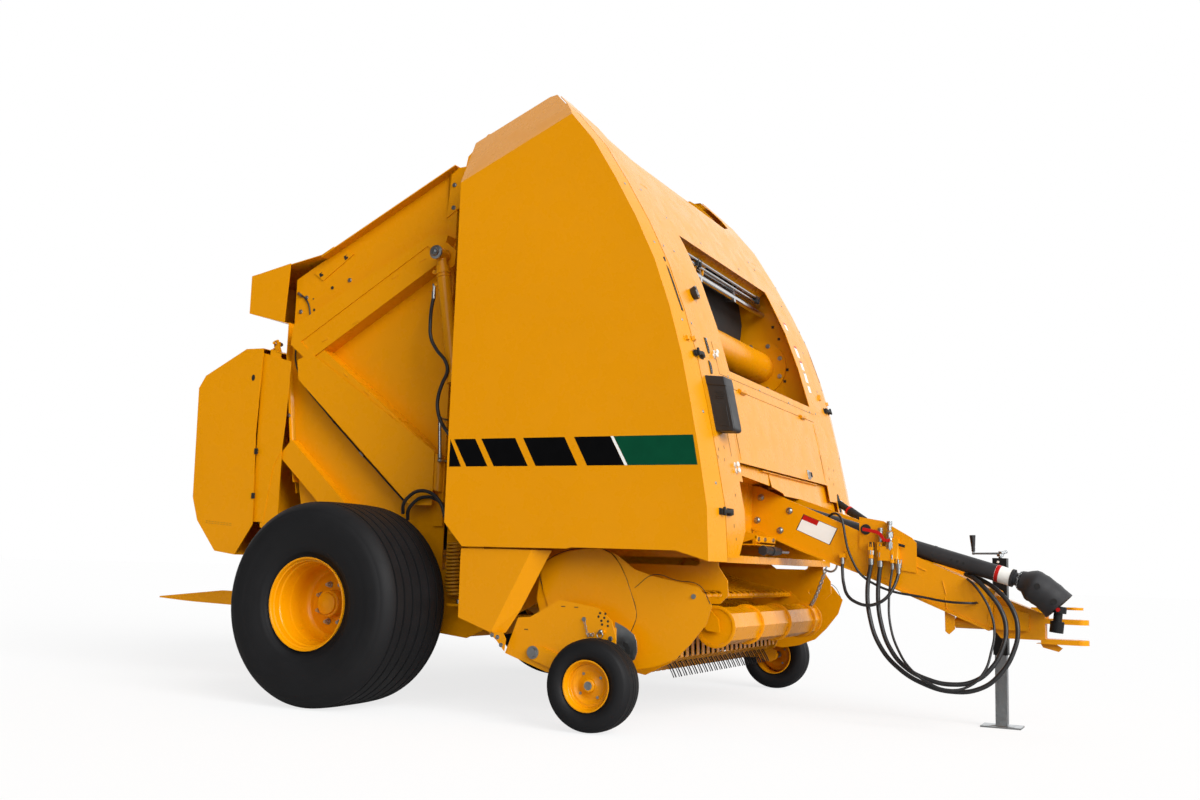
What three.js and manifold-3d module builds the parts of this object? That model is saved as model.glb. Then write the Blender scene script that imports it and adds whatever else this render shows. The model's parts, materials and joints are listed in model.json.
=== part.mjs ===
// Round baler with an articulated pickup, tailgate, side shields and net box.
// Millimetres. +X points forward to the hitch, +Y to the left, +Z up.
// Everything is laid out from the middle of the main axle at ground level, and the whole
// machine is shifted at the end so that the origin is the bottom centre of its box.
import * as THREE from "three";
import { mergeVertices } from "three/addons/utils/BufferGeometryUtils.js";
import Module from "manifold-3d";

const wasm = await Module();
wasm.setup();

// ---------------------------------------------------------------- driving dimensions
const SEAT = 0.3; // gap between pieces that touch
const SHEET = 4; // body panels
const PLATE = 8; // structural plates

const WHEEL = { radius: 497, width: 540, bead: 212, track: 1255, rimWidth: 446, sides: 20 };
const GAUGE_WHEEL = { x: 1446, radius: 203, width: 165, bead: 105, track: 1300, rimWidth: 118, sides: 14 };
const SPINDLE = { radius: 40, running: 0.5 };
const GAUGE_SPINDLE = { radius: 12.5, running: 0.5 };

const CHAMBER = { halfWidth: 796, wall: 6 }; // inner faces of the bale chamber walls
const FRAME_PLATE = { y: 868, x0: -160, x1: 1912 };
const HEADSTOCK = { x: 1690, depth: 75, z0: 905, z1: 1155 };
const FRONT_BEAM = { x: 1846, depth: 58, z0: 755, z1: 790 };

const FRONT_CURVE = [[1967, 756], [1950, 1000], [1888, 1306], [1787, 1735], [1625, 2184], [1354, 2669], [1183, 2889], [984, 3083]];
const SHIELD = { rear: 611, rearTop: 571, bottom: 799, cornerY: 1235, lean: 0.03, leanZ: 1300, seamY: 1106, topY: 987, hinges: [1290, 2380] };
const FLANGE_SHEAR = 0.185; // the shield's front flange runs forward as it turns inward
const CLEAR = 9; // running clearance between panels that move apart
const COVER = { halfWidth: 1100, legInner: 850, legBottom: 775 };
const WINDOW = { halfWidth: 682, bottom: 1678, top: 2382, topEdge: 2801 };
const ACCESS_DOOR = { right: 800, left: 700, top: 1588, bottom: 1222, hinges: [-560, 460] };

const TAILGATE = { pivot: [620, 2800], frontX: 306, plate: 6, gapX: 24 };
const CYLINDER = { y: 950, top: [307, 2323], foot: [520, 1100], bore: 36, rod: 20, pin: 20, barrel: 700 };
const NET_BOX = { halfWidth: 900, hinge: [-885, 1930] };
const RAMP = { pivot: [-480, 470], y: 600, tip: -1843, bar: 14 };

const PICKUP = { pivot: [1050, 750], sideY: 780, crossTube: [1150, 430], tubeRadius: 45, dividerY: 1095, armY: 1190 };
const REEL = { x: 1470, z: 380, tube: 45, barCircle: 100, bar: 12, reach: 213, halfLength: 757 };
const TINE = { pitch: 70, count: 21, bars: 4, size: 6 };
const BAND = { outer: 160, sheet: 4, width: 34 };
const WINDGUARD = { pivot: [1200, 690], roller: [1800, 455], radius: 100, halfLength: 735, tube: [1690, 590] };

const TONGUE = { halfWidth: 130, sheet: 10, rear: 1765.3, front: 2978 };
const HITCH = { halfWidth: 45, throat: [447, 517], strap: 24, tip: 3380, pin: 16.5 };
const JACK = { x: 2958, y: 192, size: 68, leg: 56, top: 822, bottom: 348, foot: [190, 140, 8], stroke: 330 };
const DRIVELINE = { rear: [2000, 0, 1062], front: [3065, -135, 724], elbow: [3184, -135, 690], mouth: [3263, -135, 602], radius: 40 };
const YOKE = { start: [3262, -135, 602], end: [3248, -135, 482], radius: 25 };

const BOX_CENTRE_X = (HITCH.tip + RAMP.tip) / 2;

// ---------------------------------------------------------------- materials
const paint = (color, roughness, metalness = 0) => new THREE.MeshStandardMaterial({ color, roughness, metalness });
const YELLOW = paint(0xe29600, 0.35);
const BLACK_PAINT = paint(0x1b1b1c, 0.45);
const RUBBER = paint(0x26262a, 0.85);
const BELTING = paint(0x141414, 0.9);
const PLASTIC = paint(0x2a2a2b, 0.55);
const ZINC = paint(0xb9bcc0, 0.35, 1);
const STEEL = paint(0xc9c9c9, 0.25, 1);
const HOSE = paint(0x1a1a1a, 0.6);

// ---------------------------------------------------------------- shapes
// A closed three.js geometry as a solid that can be joined and cut.
function solid(geometry) {
  const bare = geometry.index ? geometry.toNonIndexed() : geometry.clone();
  bare.deleteAttribute("normal");
  bare.deleteAttribute("uv");
  const merged = mergeVertices(bare, 1e-3);
  return new wasm.Manifold(
    new wasm.Mesh({
      numProp: 3,
      vertProperties: merged.attributes.position.array,
      triVerts: new Uint32Array(merged.index.array),
    }),
  );
}

function join(...pieces) {
  return pieces.flat().reduce((whole, piece) => whole.add(piece));
}

function cut(body, ...tools) {
  return tools.flat().reduce((rest, tool) => rest.subtract(tool), body);
}

function mesh(name, body, material) {
  const { vertProperties, triVerts, numProp } = body.getMesh();
  const geometry = new THREE.BufferGeometry();
  const data = new THREE.InterleavedBuffer(vertProperties, numProp);
  geometry.setAttribute("position", new THREE.InterleavedBufferAttribute(data, 3, 0));
  geometry.setIndex(new THREE.BufferAttribute(triVerts, 1));
  const flat = geometry.toNonIndexed();
  flat.computeVertexNormals();
  const made = new THREE.Mesh(flat, material);
  made.name = name;
  return made;
}

function shapeOf(outline) {
  const points = outline.map(([u, v]) => new THREE.Vector2(u, v));
  if (THREE.ShapeUtils.area(points) < 0) points.reverse();
  return new THREE.Shape(points);
}

// An outline drawn on the plane of two axes, made as thick as depth along the third.
function extruded(outline, depth, uAxis, vAxis, origin, after = new THREE.Matrix4()) {
  const normal = new THREE.Vector3().crossVectors(uAxis, vAxis);
  const geometry = new THREE.ExtrudeGeometry(shapeOf(outline), { depth, bevelEnabled: false });
  const place = new THREE.Matrix4().makeBasis(uAxis, vAxis, normal).setPosition(origin);
  return solid(geometry.applyMatrix4(place).applyMatrix4(after));
}

const X = new THREE.Vector3(1, 0, 0);
const Y = new THREE.Vector3(0, 1, 0);
const Z = new THREE.Vector3(0, 0, 1);

// Outline of [x, z] points, from y0 to y1.
const plateXZ = (outline, y0, y1, after) => extruded(outline, y1 - y0, X, Z, new THREE.Vector3(0, y1, 0), after);
// Outline of [y, z] points, from x0 to x1.
const plateYZ = (outline, x0, x1) => extruded(outline, x1 - x0, Y, Z, new THREE.Vector3(x0, 0, 0));

function box(x0, x1, y0, y1, z0, z1) {
  const geometry = new THREE.BoxGeometry(x1 - x0, y1 - y0, z1 - z0);
  return solid(geometry.translate((x0 + x1) / 2, (y0 + y1) / 2, (z0 + z1) / 2));
}

function rod(from, to, radius, sides = 12) {
  const a = new THREE.Vector3(...from);
  const b = new THREE.Vector3(...to);
  const geometry = new THREE.CylinderGeometry(radius, radius, a.distanceTo(b), sides);
  const turn = new THREE.Quaternion().setFromUnitVectors(Y, b.clone().sub(a).normalize());
  geometry.applyQuaternion(turn);
  const middle = a.add(b).multiplyScalar(0.5);
  return solid(geometry.translate(middle.x, middle.y, middle.z));
}

// A rod along Y at [x, z].
const crossRod = ([x, z], y0, y1, radius, sides = 12) => rod([x, y0, z], [x, y1, z], radius, sides);

// Turned about the Y axis from [radius, y] points.
function turned(profile, sides) {
  const points = profile.map(([r, y]) => new THREE.Vector2(r, y));
  const made = solid(new THREE.LatheGeometry(points, sides));
  if (made.volume() > 0) return made;
  return solid(new THREE.LatheGeometry(points.reverse(), sides));
}

// The outline of a sheet that follows an open line of [u, v] points, with its thickness to the right
// of the line's direction.
function folded(line, thickness) {
  const points = line.map(([u, v]) => new THREE.Vector2(u, v));
  const offset = points.map((point, i) => {
    const before = points[i].clone().sub(points[Math.max(i - 1, 0)]);
    const after = points[Math.min(i + 1, points.length - 1)].clone().sub(points[i]);
    const along = [before, after].filter((side) => side.length() > 0).map((side) => side.normalize());
    const normals = along.map((side) => new THREE.Vector2(side.y, -side.x));
    const mitre = normals.reduce((sum, normal) => sum.add(normal), new THREE.Vector2()).normalize();
    return point.clone().addScaledVector(mitre, thickness / mitre.dot(normals[normals.length - 1]));
  });
  return [...points, ...offset.reverse()].map((point) => [point.x, point.y]);
}

// A slot with round ends on the X-Z plane.
function slotOutline(x0, x1, z0, z1, steps = 4) {
  const radius = (z1 - z0) / 2;
  const middle = (z0 + z1) / 2;
  const end = (cx, start) =>
    Array.from({ length: steps + 1 }, (_, i) => start + (Math.PI * i) / steps).map((angle) => [
      cx + radius * Math.cos(angle),
      middle + radius * Math.sin(angle),
    ]);
  return [...end(x1 - radius, -Math.PI / 2), ...end(x0 + radius, Math.PI / 2)];
}

// ---------------------------------------------------------------- front face curve
const frontSpline = new THREE.SplineCurve(FRONT_CURVE.map(([x, z]) => new THREE.Vector2(x, z)));
const frontLine = frontSpline.getSpacedPoints(11).map((point) => [point.x, point.y]);

// X of the front face of the central cover at height z.
const coverAdvance = FLANGE_SHEAR * (SHIELD.cornerY - COVER.halfWidth);
function coverX(z) {
  const upper = frontLine.findIndex(([, height]) => height >= z);
  const [[xa, za], [xb, zb]] = [frontLine[Math.max(upper - 1, 0)], frontLine[Math.max(upper, 1)]];
  return coverAdvance + xa + ((xb - xa) * (z - za)) / (zb - za);
}

// The part of the cover's face between two heights, as a line of [x, z] points.
function coverLine(low, high) {
  const between = frontLine.filter(([, z]) => z > low + 5 && z < high - 5).map(([x, z]) => [x + coverAdvance, z]);
  return [[coverX(low), low], ...between, [coverX(high), high]];
}

// ---------------------------------------------------------------- wheels
function mainTyre() {
  const half = WHEEL.width / 2;
  const side = [
    [WHEEL.bead, 221.8], [252, half - 14], [360, half], [450, half - 14], [WHEEL.radius - 6, half - 62],
    [WHEEL.radius, half - 120],
  ];
  return turned(closedSection(side), WHEEL.sides);
}

// A section that is the same on both sides of the wheel's middle plane, closed on itself.
function closedSection(side) {
  const other = side.map(([r, y]) => [r, -y]).reverse();
  return [...side, ...other, side[0]];
}

function mainRim() {
  const flange = WHEEL.rimWidth / 2 + 24;
  const bed = WHEEL.bead - 0.5;
  const bore = SPINDLE.radius + SPINDLE.running;
  return turned(
    [
      [0, 88], [28, 84], [60, 14], [118, 12], [198, -32], [203, 230], [222, flange], [bed, 222.3], [bed, -222.3],
      [222, -flange], [204, -228], [204, -62], [64, -24], [64, -60], [bore, -60], [bore, 30], [0, 30],
    ],
    WHEEL.sides,
  );
}

function gaugeTyre() {
  const half = GAUGE_WHEEL.width / 2;
  const bead = GAUGE_WHEEL.bead;
  const side = [[bead, 57], [125, 74], [150, half], [188, half - 14], [GAUGE_WHEEL.radius, half - 40]];
  return turned(closedSection(side), GAUGE_WHEEL.sides);
}

function gaugeRim() {
  const bed = GAUGE_WHEEL.bead - 0.5;
  const bore = GAUGE_SPINDLE.radius + GAUGE_SPINDLE.running;
  return turned(
    [
      [0, 52], [30, 32], [58, 14], [94, 26], [98, 60], [112, 70], [bed, 57.3], [bed, -57.3], [112, -70], [98, -60],
      [92, 12], [30, 8], [30, -40], [bore, -40], [bore, 24], [0, 24],
    ],
    GAUGE_WHEEL.sides,
  );
}

function wheelGroup(name, tyre, rim, x, track, radius) {
  const group = new THREE.Group();
  group.position.set(x, track, radius);
  group.add(mesh(`${name}_tyre`, tyre, RUBBER), mesh(`${name}_rim`, rim, YELLOW));
  return group;
}

// ---------------------------------------------------------------- main frame
function framePlateOutline() {
  return [
    [FRAME_PLATE.x0, 440], [-60, 400], [520, 340], [700, 420], [980, 560], [1400, 590], [1700, 575], [1785, 563],
    [1875, 567], [FRAME_PLATE.x1, 604], [1908, 672], [1862, 736], [1862, HEADSTOCK.z1], [HEADSTOCK.x - 60, HEADSTOCK.z1],
    [HEADSTOCK.x - 160, 830], [960, 830], [300, 660], [FRAME_PLATE.x0, 640],
  ];
}

function mainFrame() {
  const { y, x1 } = FRAME_PLATE;
  const plates = [-1, 1].map((side) => {
    const [y0, y1] = side > 0 ? [y, y + PLATE] : [-y - PLATE, -y];
    return cut(
      plateXZ(framePlateOutline(), y0, y1),
      plateXZ(slotOutline(1200, 1772, 737, 773), y0 - 5, y1 + 5),
      plateXZ(slotOutline(x1 - 137, x1 - 27, 591, 628), y0 - 5, y1 + 5),
    );
  });
  const z = WHEEL.radius;
  const axle = box(-50, 50, -y - PLATE, y + PLATE, z - 50, z + 50);
  const stubs = [-1, 1].map((side) => [
    crossRod([0, z], side * y, side * 1060, 62, 12),
    crossRod([0, z], side * 1060, side * (WHEEL.track + 26), SPINDLE.radius, 20),
  ]);
  const across = (x0, x1, z0, z1) => box(x0, x1, -y - 2, y + 2, z0, z1);
  const headstock = across(HEADSTOCK.x, HEADSTOCK.x + HEADSTOCK.depth, HEADSTOCK.z0, HEADSTOCK.z1);
  const frontBeam = across(FRONT_BEAM.x, FRONT_BEAM.x + FRONT_BEAM.depth, FRONT_BEAM.z0, FRONT_BEAM.z1);
  const middleBeam = across(430, 530, 348, 440);
  const rampEars = [-1, 1].map((side) => {
    const [y0, y1] = side > 0 ? [RAMP.y + 22, RAMP.y + 34] : [-RAMP.y - 34, -RAMP.y - 22];
    return plateXZ([[-45, 460], [-45, 540], [-440, 520], [-520, 490], [-520, 440], [-440, 430]], y0, y1);
  });
  const rampPins = [-1, 1].map((side) => crossRod(RAMP.pivot, side * (RAMP.y + 34), side * (RAMP.y - 10), 14, 16));
  const cylinderPins = [-1, 1].map((side) => {
    const [y0, y1] = side > 0 ? [y, CYLINDER.y - 40] : [40 - CYLINDER.y, -y];
    const [x, footZ] = CYLINDER.foot;
    const lug = plateXZ([[x - 60, 700], [x + 80, 760], [x + 45, footZ + 30], [x - 45, footZ + 30]], side > 0 ? y : -y - PLATE, side > 0 ? y + PLATE : -y);
    return [lug, box(x - 20, x + 20, y0, y1, footZ - 60, footZ - 20)];
  });
  const springHangers = [-1, 1].map((side) => {
    const [y0, y1] = side > 0 ? [y, 984] : [-984, -y];
    return [box(450, 560, y0, y1, 856, 868), box(460, 560, y0, y1, 500, 512)];
  });
  const hangerWebs = [-1, 1].map((side) => {
    const [y0, y1] = side > 0 ? [y, y + PLATE] : [-y - PLATE, -y];
    return plateXZ([[430, 600], [560, 600], [600, 1140], [470, 1140]], y0, y1);
  });
  return join(
    plates, axle, stubs.flat(), headstock, frontBeam, middleBeam, rampEars, rampPins, cylinderPins.flat(),
    springHangers.flat(), hangerWebs,
  );
}

// Chamber wall ahead of the tailgate, with the boss that the tailgate hangs on.
function sideWall() {
  const { halfWidth, wall } = CHAMBER;
  const [px, pz] = TAILGATE.pivot;
  const rear = TAILGATE.frontX + TAILGATE.gapX;
  const front = coverLine(1210, 3000).map(([x, z]) => [x - 34, z]);
  const outline = [
    [rear, 668], [rear, pz], [rear + 20, pz + 100], [470, 3010], [1000, 3040], ...front.reverse(),
    [HEADSTOCK.x - 8, 1200], [HEADSTOCK.x - 8, 845], [1130, 835], [1030, 805], [985, 740], [980, 668],
  ];
  const plate = plateXZ(outline, halfWidth, halfWidth + wall);
  const boss = crossRod([px, pz], halfWidth + wall - 1, 878, 24, 16);
  const washer = crossRod([px, pz], 872, 880, 40, 14);
  const foot = box(rear + 40, 970, halfWidth + 2, FRAME_PLATE.y - SEAT, 690, 720);
  return join(plate, boss, washer, foot, shieldArms());
}

function beltTensionTube() {
  const inner = CHAMBER.halfWidth - SEAT;
  const centre = [1480, 1940];
  const rings = [-1, 1].map((side) => crossRod(centre, side * (inner - 12), side * inner, 170, 20));
  return join(crossRod(centre, -inner, inner, 93, 20), rings);
}

function windowRollers() {
  const inner = CHAMBER.halfWidth - SEAT;
  const rollers = [[1462, 2330], [1488, 2268]].map((centre) => crossRod(centre, -inner, inner, 19, 16));
  const hangers = [-0.33, 0.33].map((share) => {
    const y = share * inner;
    return plateXZ([[1430, 2250], [1510, 2240], [1490, 2360], [1430, 2370]], y - 12, y + 12);
  });
  return join(rollers, hangers);
}

// Belts lying on the rollers that carry them between the chamber walls.
function beltRun(line, halfWidth, rollers) {
  const inner = CHAMBER.halfWidth - SEAT;
  return join(plateXZ(folded(line, 10), -halfWidth, halfWidth), rollers.map((centre) => crossRod(centre, -inner, inner, 48)));
}

// ---------------------------------------------------------------- front cover and access door
function frontCover() {
  const { halfWidth, legInner, legBottom } = COVER;
  const skin = plateXZ(folded(coverLine(legBottom, 3060), -SHEET), -halfWidth, halfWidth);
  const reach = [900, 2100];
  const through = (outline) => plateYZ(outline, ...reach);
  const mirrored = (half) => [...half, ...half.map(([y, z]) => [-y, z]).reverse()];
  const { topEdge } = WINDOW;
  const topGap = through(mirrored([[WINDOW.halfWidth, topEdge], [880, topEdge + 60], [968, 3200]]));
  const window = through(mirrored([[WINDOW.halfWidth, WINDOW.bottom], [WINDOW.halfWidth, WINDOW.top]]));
  const belowDoor = through(mirrored([[legInner + 100, 700], [legInner + 100, legBottom + 8], [legInner, 900], [legInner, 1130]]));
  const doorway = through([
    [-ACCESS_DOOR.right - 3, ACCESS_DOOR.bottom - 100], [ACCESS_DOOR.left + 3, ACCESS_DOOR.bottom - 100],
    [ACCESS_DOOR.left + 3, ACCESS_DOOR.top + 3], [-ACCESS_DOOR.right - 3, ACCESS_DOOR.top + 3],
  ]);
  const ledgeX = coverX(WINDOW.bottom);
  const ledge = box(ledgeX - 130, ledgeX - 3, -WINDOW.halfWidth, WINDOW.halfWidth, WINDOW.bottom - SHEET, WINDOW.bottom);
  const lipX = coverX(WINDOW.top);
  const lip = plateXZ(
    folded([[lipX - 3, WINDOW.top + 2], [lipX - 42, WINDOW.top - 34]], SHEET), -WINDOW.halfWidth, WINDOW.halfWidth,
  );
  const stays = [-1, 1].map((side) => {
    const [y0, y1] = side > 0 ? [CHAMBER.halfWidth + CHAMBER.wall + SEAT, 880] : [-880, -CHAMBER.halfWidth - CHAMBER.wall - SEAT];
    return [1400, 2100, 2600].map((z) => box(coverX(z) - 90, coverX(z) - 1, y0, y1, z, z + 6));
  });
  const facets = [-1, 1].map((side) => facetSpace(0, side));
  return join(cut(skin, topGap, window, belowDoor, doorway, facets), ledge, lip, stays.flat(), doorHinge(false));
}

// A hinge along the top of the door: the cover's pins, or the door's tubes round them.
function doorHinge(onDoor) {
  const z = ACCESS_DOOR.top + 1.5;
  const face = coverX(ACCESS_DOOR.top);
  const centre = [face + 8, z];
  return ACCESS_DOOR.hinges.map((y) => {
    if (onDoor) {
      const tube = join(crossRod(centre, y - 30, y + 30, 7, 12), box(face - 2, face + 8, y - 30, y + 30, z - 12, z - 4));
      return cut(tube, crossRod(centre, y - 40, y + 40, 3.4, 8));
    }
    const ends = [-1, 1].map((side) => {
      const [y0, y1] = side > 0 ? [y + 31, y + 43] : [y - 43, y - 31];
      return join(crossRod(centre, y0, y1, 7, 12), box(face - 4, face + 8, y0, y1, z + 4, z + 12));
    });
    return join(ends, crossRod(centre, y - 40, y + 40, 3, 8));
  });
}

function accessDoor() {
  const { right, left, top, bottom } = ACCESS_DOOR;
  return join(plateXZ(folded(coverLine(bottom, top), -SHEET), -right, left), doorHinge(true));
}

// Plate that turns inward under the access door to clear the driveline.
function drivelineShroud() {
  const top = coverX(ACCESS_DOOR.bottom);
  const line = [[top - 6, ACCESS_DOOR.bottom - 12], [top - 60, 1190], [HEADSTOCK.x + HEADSTOCK.depth - 2, 1165]];
  return join(plateXZ(folded(line, SHEET), -440, 520), box(1700, HEADSTOCK.x + HEADSTOCK.depth, -440, 520, HEADSTOCK.z1 + SEAT, 1169));
}

// ---------------------------------------------------------------- side shields
// |Y| of the shield's outer plane at height z.
const shieldY = (z) => SHIELD.cornerY + 12 + SHIELD.lean * (SHIELD.leanZ - z);

// The space outside the inclined top facet of a shield, moved inward by inset.
function facetSpace(inset, side) {
  const low = new THREE.Vector3(SHIELD.rearTop, side * shieldY(2605), 2605);
  const mid = new THREE.Vector3(1192, side * shieldY(2889), 2889);
  const high = new THREE.Vector3(515, side * SHIELD.topY, 2895);
  const along = mid.clone().sub(low).normalize();
  const outward = new THREE.Vector3().crossVectors(high.clone().sub(low), along).normalize();
  if (outward.y * side < 0) outward.negate();
  const across = new THREE.Vector3().crossVectors(outward, along).normalize();
  const origin = low.clone().addScaledVector(outward, -inset);
  const geometry = new THREE.BoxGeometry(2600, 1600, 400).translate(0, 0, 200);
  return solid(geometry.applyMatrix4(new THREE.Matrix4().makeBasis(along, across, outward).setPosition(origin)));
}

function sideShield() {
  const { rear, rearTop, bottom, topY, seamY, cornerY } = SHIELD;
  const shear = new THREE.Matrix4().set(1, -FLANGE_SHEAR, 0, FLANGE_SHEAR * cornerY, 0, 1, 0, 0, 0, 0, 1, 0, 0, 0, 0, 1);
  const back = FLANGE_SHEAR * (cornerY - topY);
  const front = (inset) => frontLine.map(([x, z]) => [x - inset, z]).reverse();
  const edges = [[1811, bottom], [1302, bottom + 2], [1278, bottom - 4], [719, bottom - 6]];
  const outer = [[rear, 906], [rearTop, 2605], [505 - back, 2915], [845 - back, 3083], ...front(0), ...edges];
  const inner = [
    [300, 600], [300, 2905], [505 - back, 2911], [845 - back, 3079], ...front(SHEET + 0.6), [1960, 600],
  ];
  const beyond = (inset) => plateYZ([
    [shieldY(600) - inset, 600], [shieldY(3300) - inset, 3300], [1500, 3300], [1500, 600],
  ], 200, 2300);
  const outside = cut(plateXZ(outer, topY, 1330, shear), beyond(0), facetSpace(0, 1));
  const inside = cut(plateXZ(inner, 900, 1330, shear), beyond(SHEET), facetSpace(SHEET, 1));
  const coverLow = coverLine(700, 3083).map(([x, z]) => [x - SHEET - CLEAR, z]);
  const coverSpace = plateXZ([...coverLow, [2300, 3200], [2300, 650]], 900, seamY);
  const ears = SHIELD.hinges.map((z) => rod(onShieldHinge(z - 22), onShieldHinge(z + 20), 13, 8));
  const bores = SHIELD.hinges.map((z) => rod(onShieldHinge(z - 40), onShieldHinge(z + 40), 6.8, 8));
  return cut(join(cut(outside, inside, coverSpace, box(500, 2300, 900, seamY, 600, 2700)), ears), bores);
}

// The shield's hinge line at height z, just inside its rear edge.
function onShieldHinge(z) {
  const share = (z - 906) / (2605 - 906);
  return [SHIELD.rear + 14 + (SHIELD.rearTop - SHIELD.rear) * share, shieldY(z) - 14, z];
}

// Arms from the chamber wall that carry a shield's hinge pins.
function shieldArms() {
  return join(
    SHIELD.hinges.map((z) => {
      const [x, y] = onShieldHinge(z);
      const arm = box(x - 4, x + 14, CHAMBER.halfWidth + 2, y + 6, z - 34, z - 26);
      return join(arm, rod(onShieldHinge(z - 33), onShieldHinge(z + 24), 6, 8));
    }),
  );
}
const shieldHinge = {
  low: new THREE.Vector3(SHIELD.rear - 8, shieldY(906) - 14, 906),
  high: new THREE.Vector3(SHIELD.rearTop - 8, shieldY(2605) - 14, 2605),
};

// ---------------------------------------------------------------- lower side box and lift spring
function lowerSideBox() {
  const outer = 1250;
  const outline = [[705, 786], [700, 745], [702, 459], [871, 402], [910, 375], [954, 314], [1060, 560], [1150, 745], [1170, 786]];
  const sheet = plateXZ(outline, outer - SHEET, outer);
  const rim = plateXZ(folded([[1168, 783], [1148, 745], [1058, 560], [954, 316]], SHEET), outer - 28, outer - 1);
  const rearFace = plateXZ(folded([[705, 784], [702, 745], [704, 460]], SHEET), FRAME_PLATE.y + PLATE + SEAT, outer - 1);
  const topFace = box(702, 1000, FRAME_PLATE.y + PLATE + SEAT, outer - 1, 781, 785);
  return join(sheet, rim, cut(rearFace, box(600, 800, 800, 1300, 300, 461)), topFace);
}

function liftSpring() {
  const [x, y] = [505, 940];
  const body = rod([x, y, 540], [x, y, 820], 44, 20);
  const tie = rod([x, y, 512.3], [x, y, 855.7], 12, 12);
  return join(body, tie);
}

// ---------------------------------------------------------------- pickup
function pickupFrame() {
  const { pivot, sideY, crossTube, tubeRadius, dividerY } = PICKUP;
  const outline = [
    [1015, 745], [1040, 785], [1085, 770], [1190, 728], [1235, 700], [1235, 655], [1300, 575], [1470, 540], [1600, 480], [1640, 380], [1600, 280], [1470, 215],
    [1330, 240], [1150, 370], [1080, 420],
  ];
  const sides = [-1, 1].map((side) => {
    const [y0, y1] = side > 0 ? [sideY, sideY + PLATE] : [-sideY - PLATE, -sideY];
    return plateXZ(outline, y0, y1);
  });
  const pins = [-1, 1].map((side) => crossRod(pivot, side * sideY, side * (FRAME_PLATE.y - SEAT), 20));
  const tube = crossRod(crossTube, SEAT - dividerY, dividerY - SEAT, tubeRadius, 14);
  const bearings = [-1, 1].map((side) => crossRod([REEL.x, REEL.z], side * (sideY - 8), side * sideY, 40, 14));
  return join(sides, pins, tube, bearings);
}

function cropDivider() {
  const outline = [
    [1055, 702], [1202, 775], [1382, 798], [1451, 775], [1540, 712], [1634, 683], [1855, 643], [1920, 564], [1893, 480],
    [1823, 391], [1754, 323], [1650, 282], [1548, 263], [1300, 300], [1100, 375], [1040, 560],
  ];
  return plateXZ(outline, PICKUP.dividerY, PICKUP.dividerY + SHEET);
}

function gaugeArm() {
  const { armY, crossTube, tubeRadius, dividerY } = PICKUP;
  const { x, radius, track } = GAUGE_WHEEL;
  const outline = [
    [932, 306], [995, 472], [1060, 478], [1208, 562], [1330, 545], [1412, 532], [1478, 478], [1500, 400], [1490, 300],
    [1420, 235], [1155, 233],
  ];
  const cover = plateXZ(outline, armY - SHEET, armY);
  const stub = crossRod(crossTube, dividerY + SHEET + SEAT, armY - 1, tubeRadius, 14);
  const arm = plateXZ([[1072, 345], [1080, 285], [1440, 165], [1480, 185], [1480, 235], [1130, 345]], armY - 1, armY + 9);
  const spindle = crossRod([x, radius], armY, track + 18, GAUGE_SPINDLE.radius, 18);
  const boss = crossRod([x, radius], armY, track - 42, 26, 12);
  const pin = crossRod([1085, 318], armY, armY + 22, 18, 6);
  const leverEdge = [[1490, 470], [1590, 420], [1600, 350], [1560, 300], [1490, 320]];
  const lever = plateXZ(leverEdge, armY - 16, armY - 8);
  const leverPin = crossRod([1440, 429], armY - 20, armY + 14, 9, 10);
  return join(cover, stub, arm, spindle, boss, pin, lever, leverPin, box(1440, 1500, armY - 9, armY - 1, 330, 450));
}

function reel() {
  const { x, z, tube, barCircle, bar, reach, halfLength } = REEL;
  const core = crossRod([x, z], -halfLength - 14, halfLength + 14, tube, 10);
  const discs = [-halfLength, 0, halfLength].map((y) => crossRod([x, z], y - 4, y + 4, barCircle + bar + 4, 12));
  const bars = [];
  const tines = [];
  for (let k = 0; k < TINE.bars; k++) {
    const angle = (2 * Math.PI * k) / TINE.bars + 0.35;
    const at = (radius, lag = 0) => [x + radius * Math.cos(angle - lag), z + radius * Math.sin(angle - lag)];
    bars.push(crossRod(at(barCircle), -halfLength, halfLength, bar, 6));
    const [rootX, rootZ] = at(barCircle);
    const [tipX, tipZ] = at(reach, 0.12);
    for (let i = 0; i < TINE.count; i++) {
      const y = (i - (TINE.count - 1) / 2) * TINE.pitch;
      tines.push(rod([rootX, y, rootZ], [tipX, y, tipZ], TINE.size / 2, 3));
    }
  }
  return join(core, discs, bars, tines);
}

function stripperBands() {
  const { x, z } = REEL;
  const { outer, sheet, width } = BAND;
  const arc = (from, to, steps) =>
    Array.from({ length: steps + 1 }, (_, i) => ((from + ((to - from) * i) / steps) * Math.PI) / 180).map((angle) => [
      x + outer * Math.cos(angle),
      z + outer * Math.sin(angle),
    ]);
  const line = [[1180, 575], ...arc(100, -95, 3), [1280, 237]];
  const bands = [];
  for (let i = 0; i <= TINE.count; i++) {
    const y = (i - TINE.count / 2) * TINE.pitch;
    bands.push(plateXZ(folded(line, sheet), y - width / 2, y + width / 2));
  }
  const reach = PICKUP.sideY - SEAT;
  const top = box(1178, 1210, -reach, reach, 560, 574);
  const bottom = box(1258, 1288, -reach, reach, 228, 242);
  return join(bands, top, bottom);
}

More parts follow.
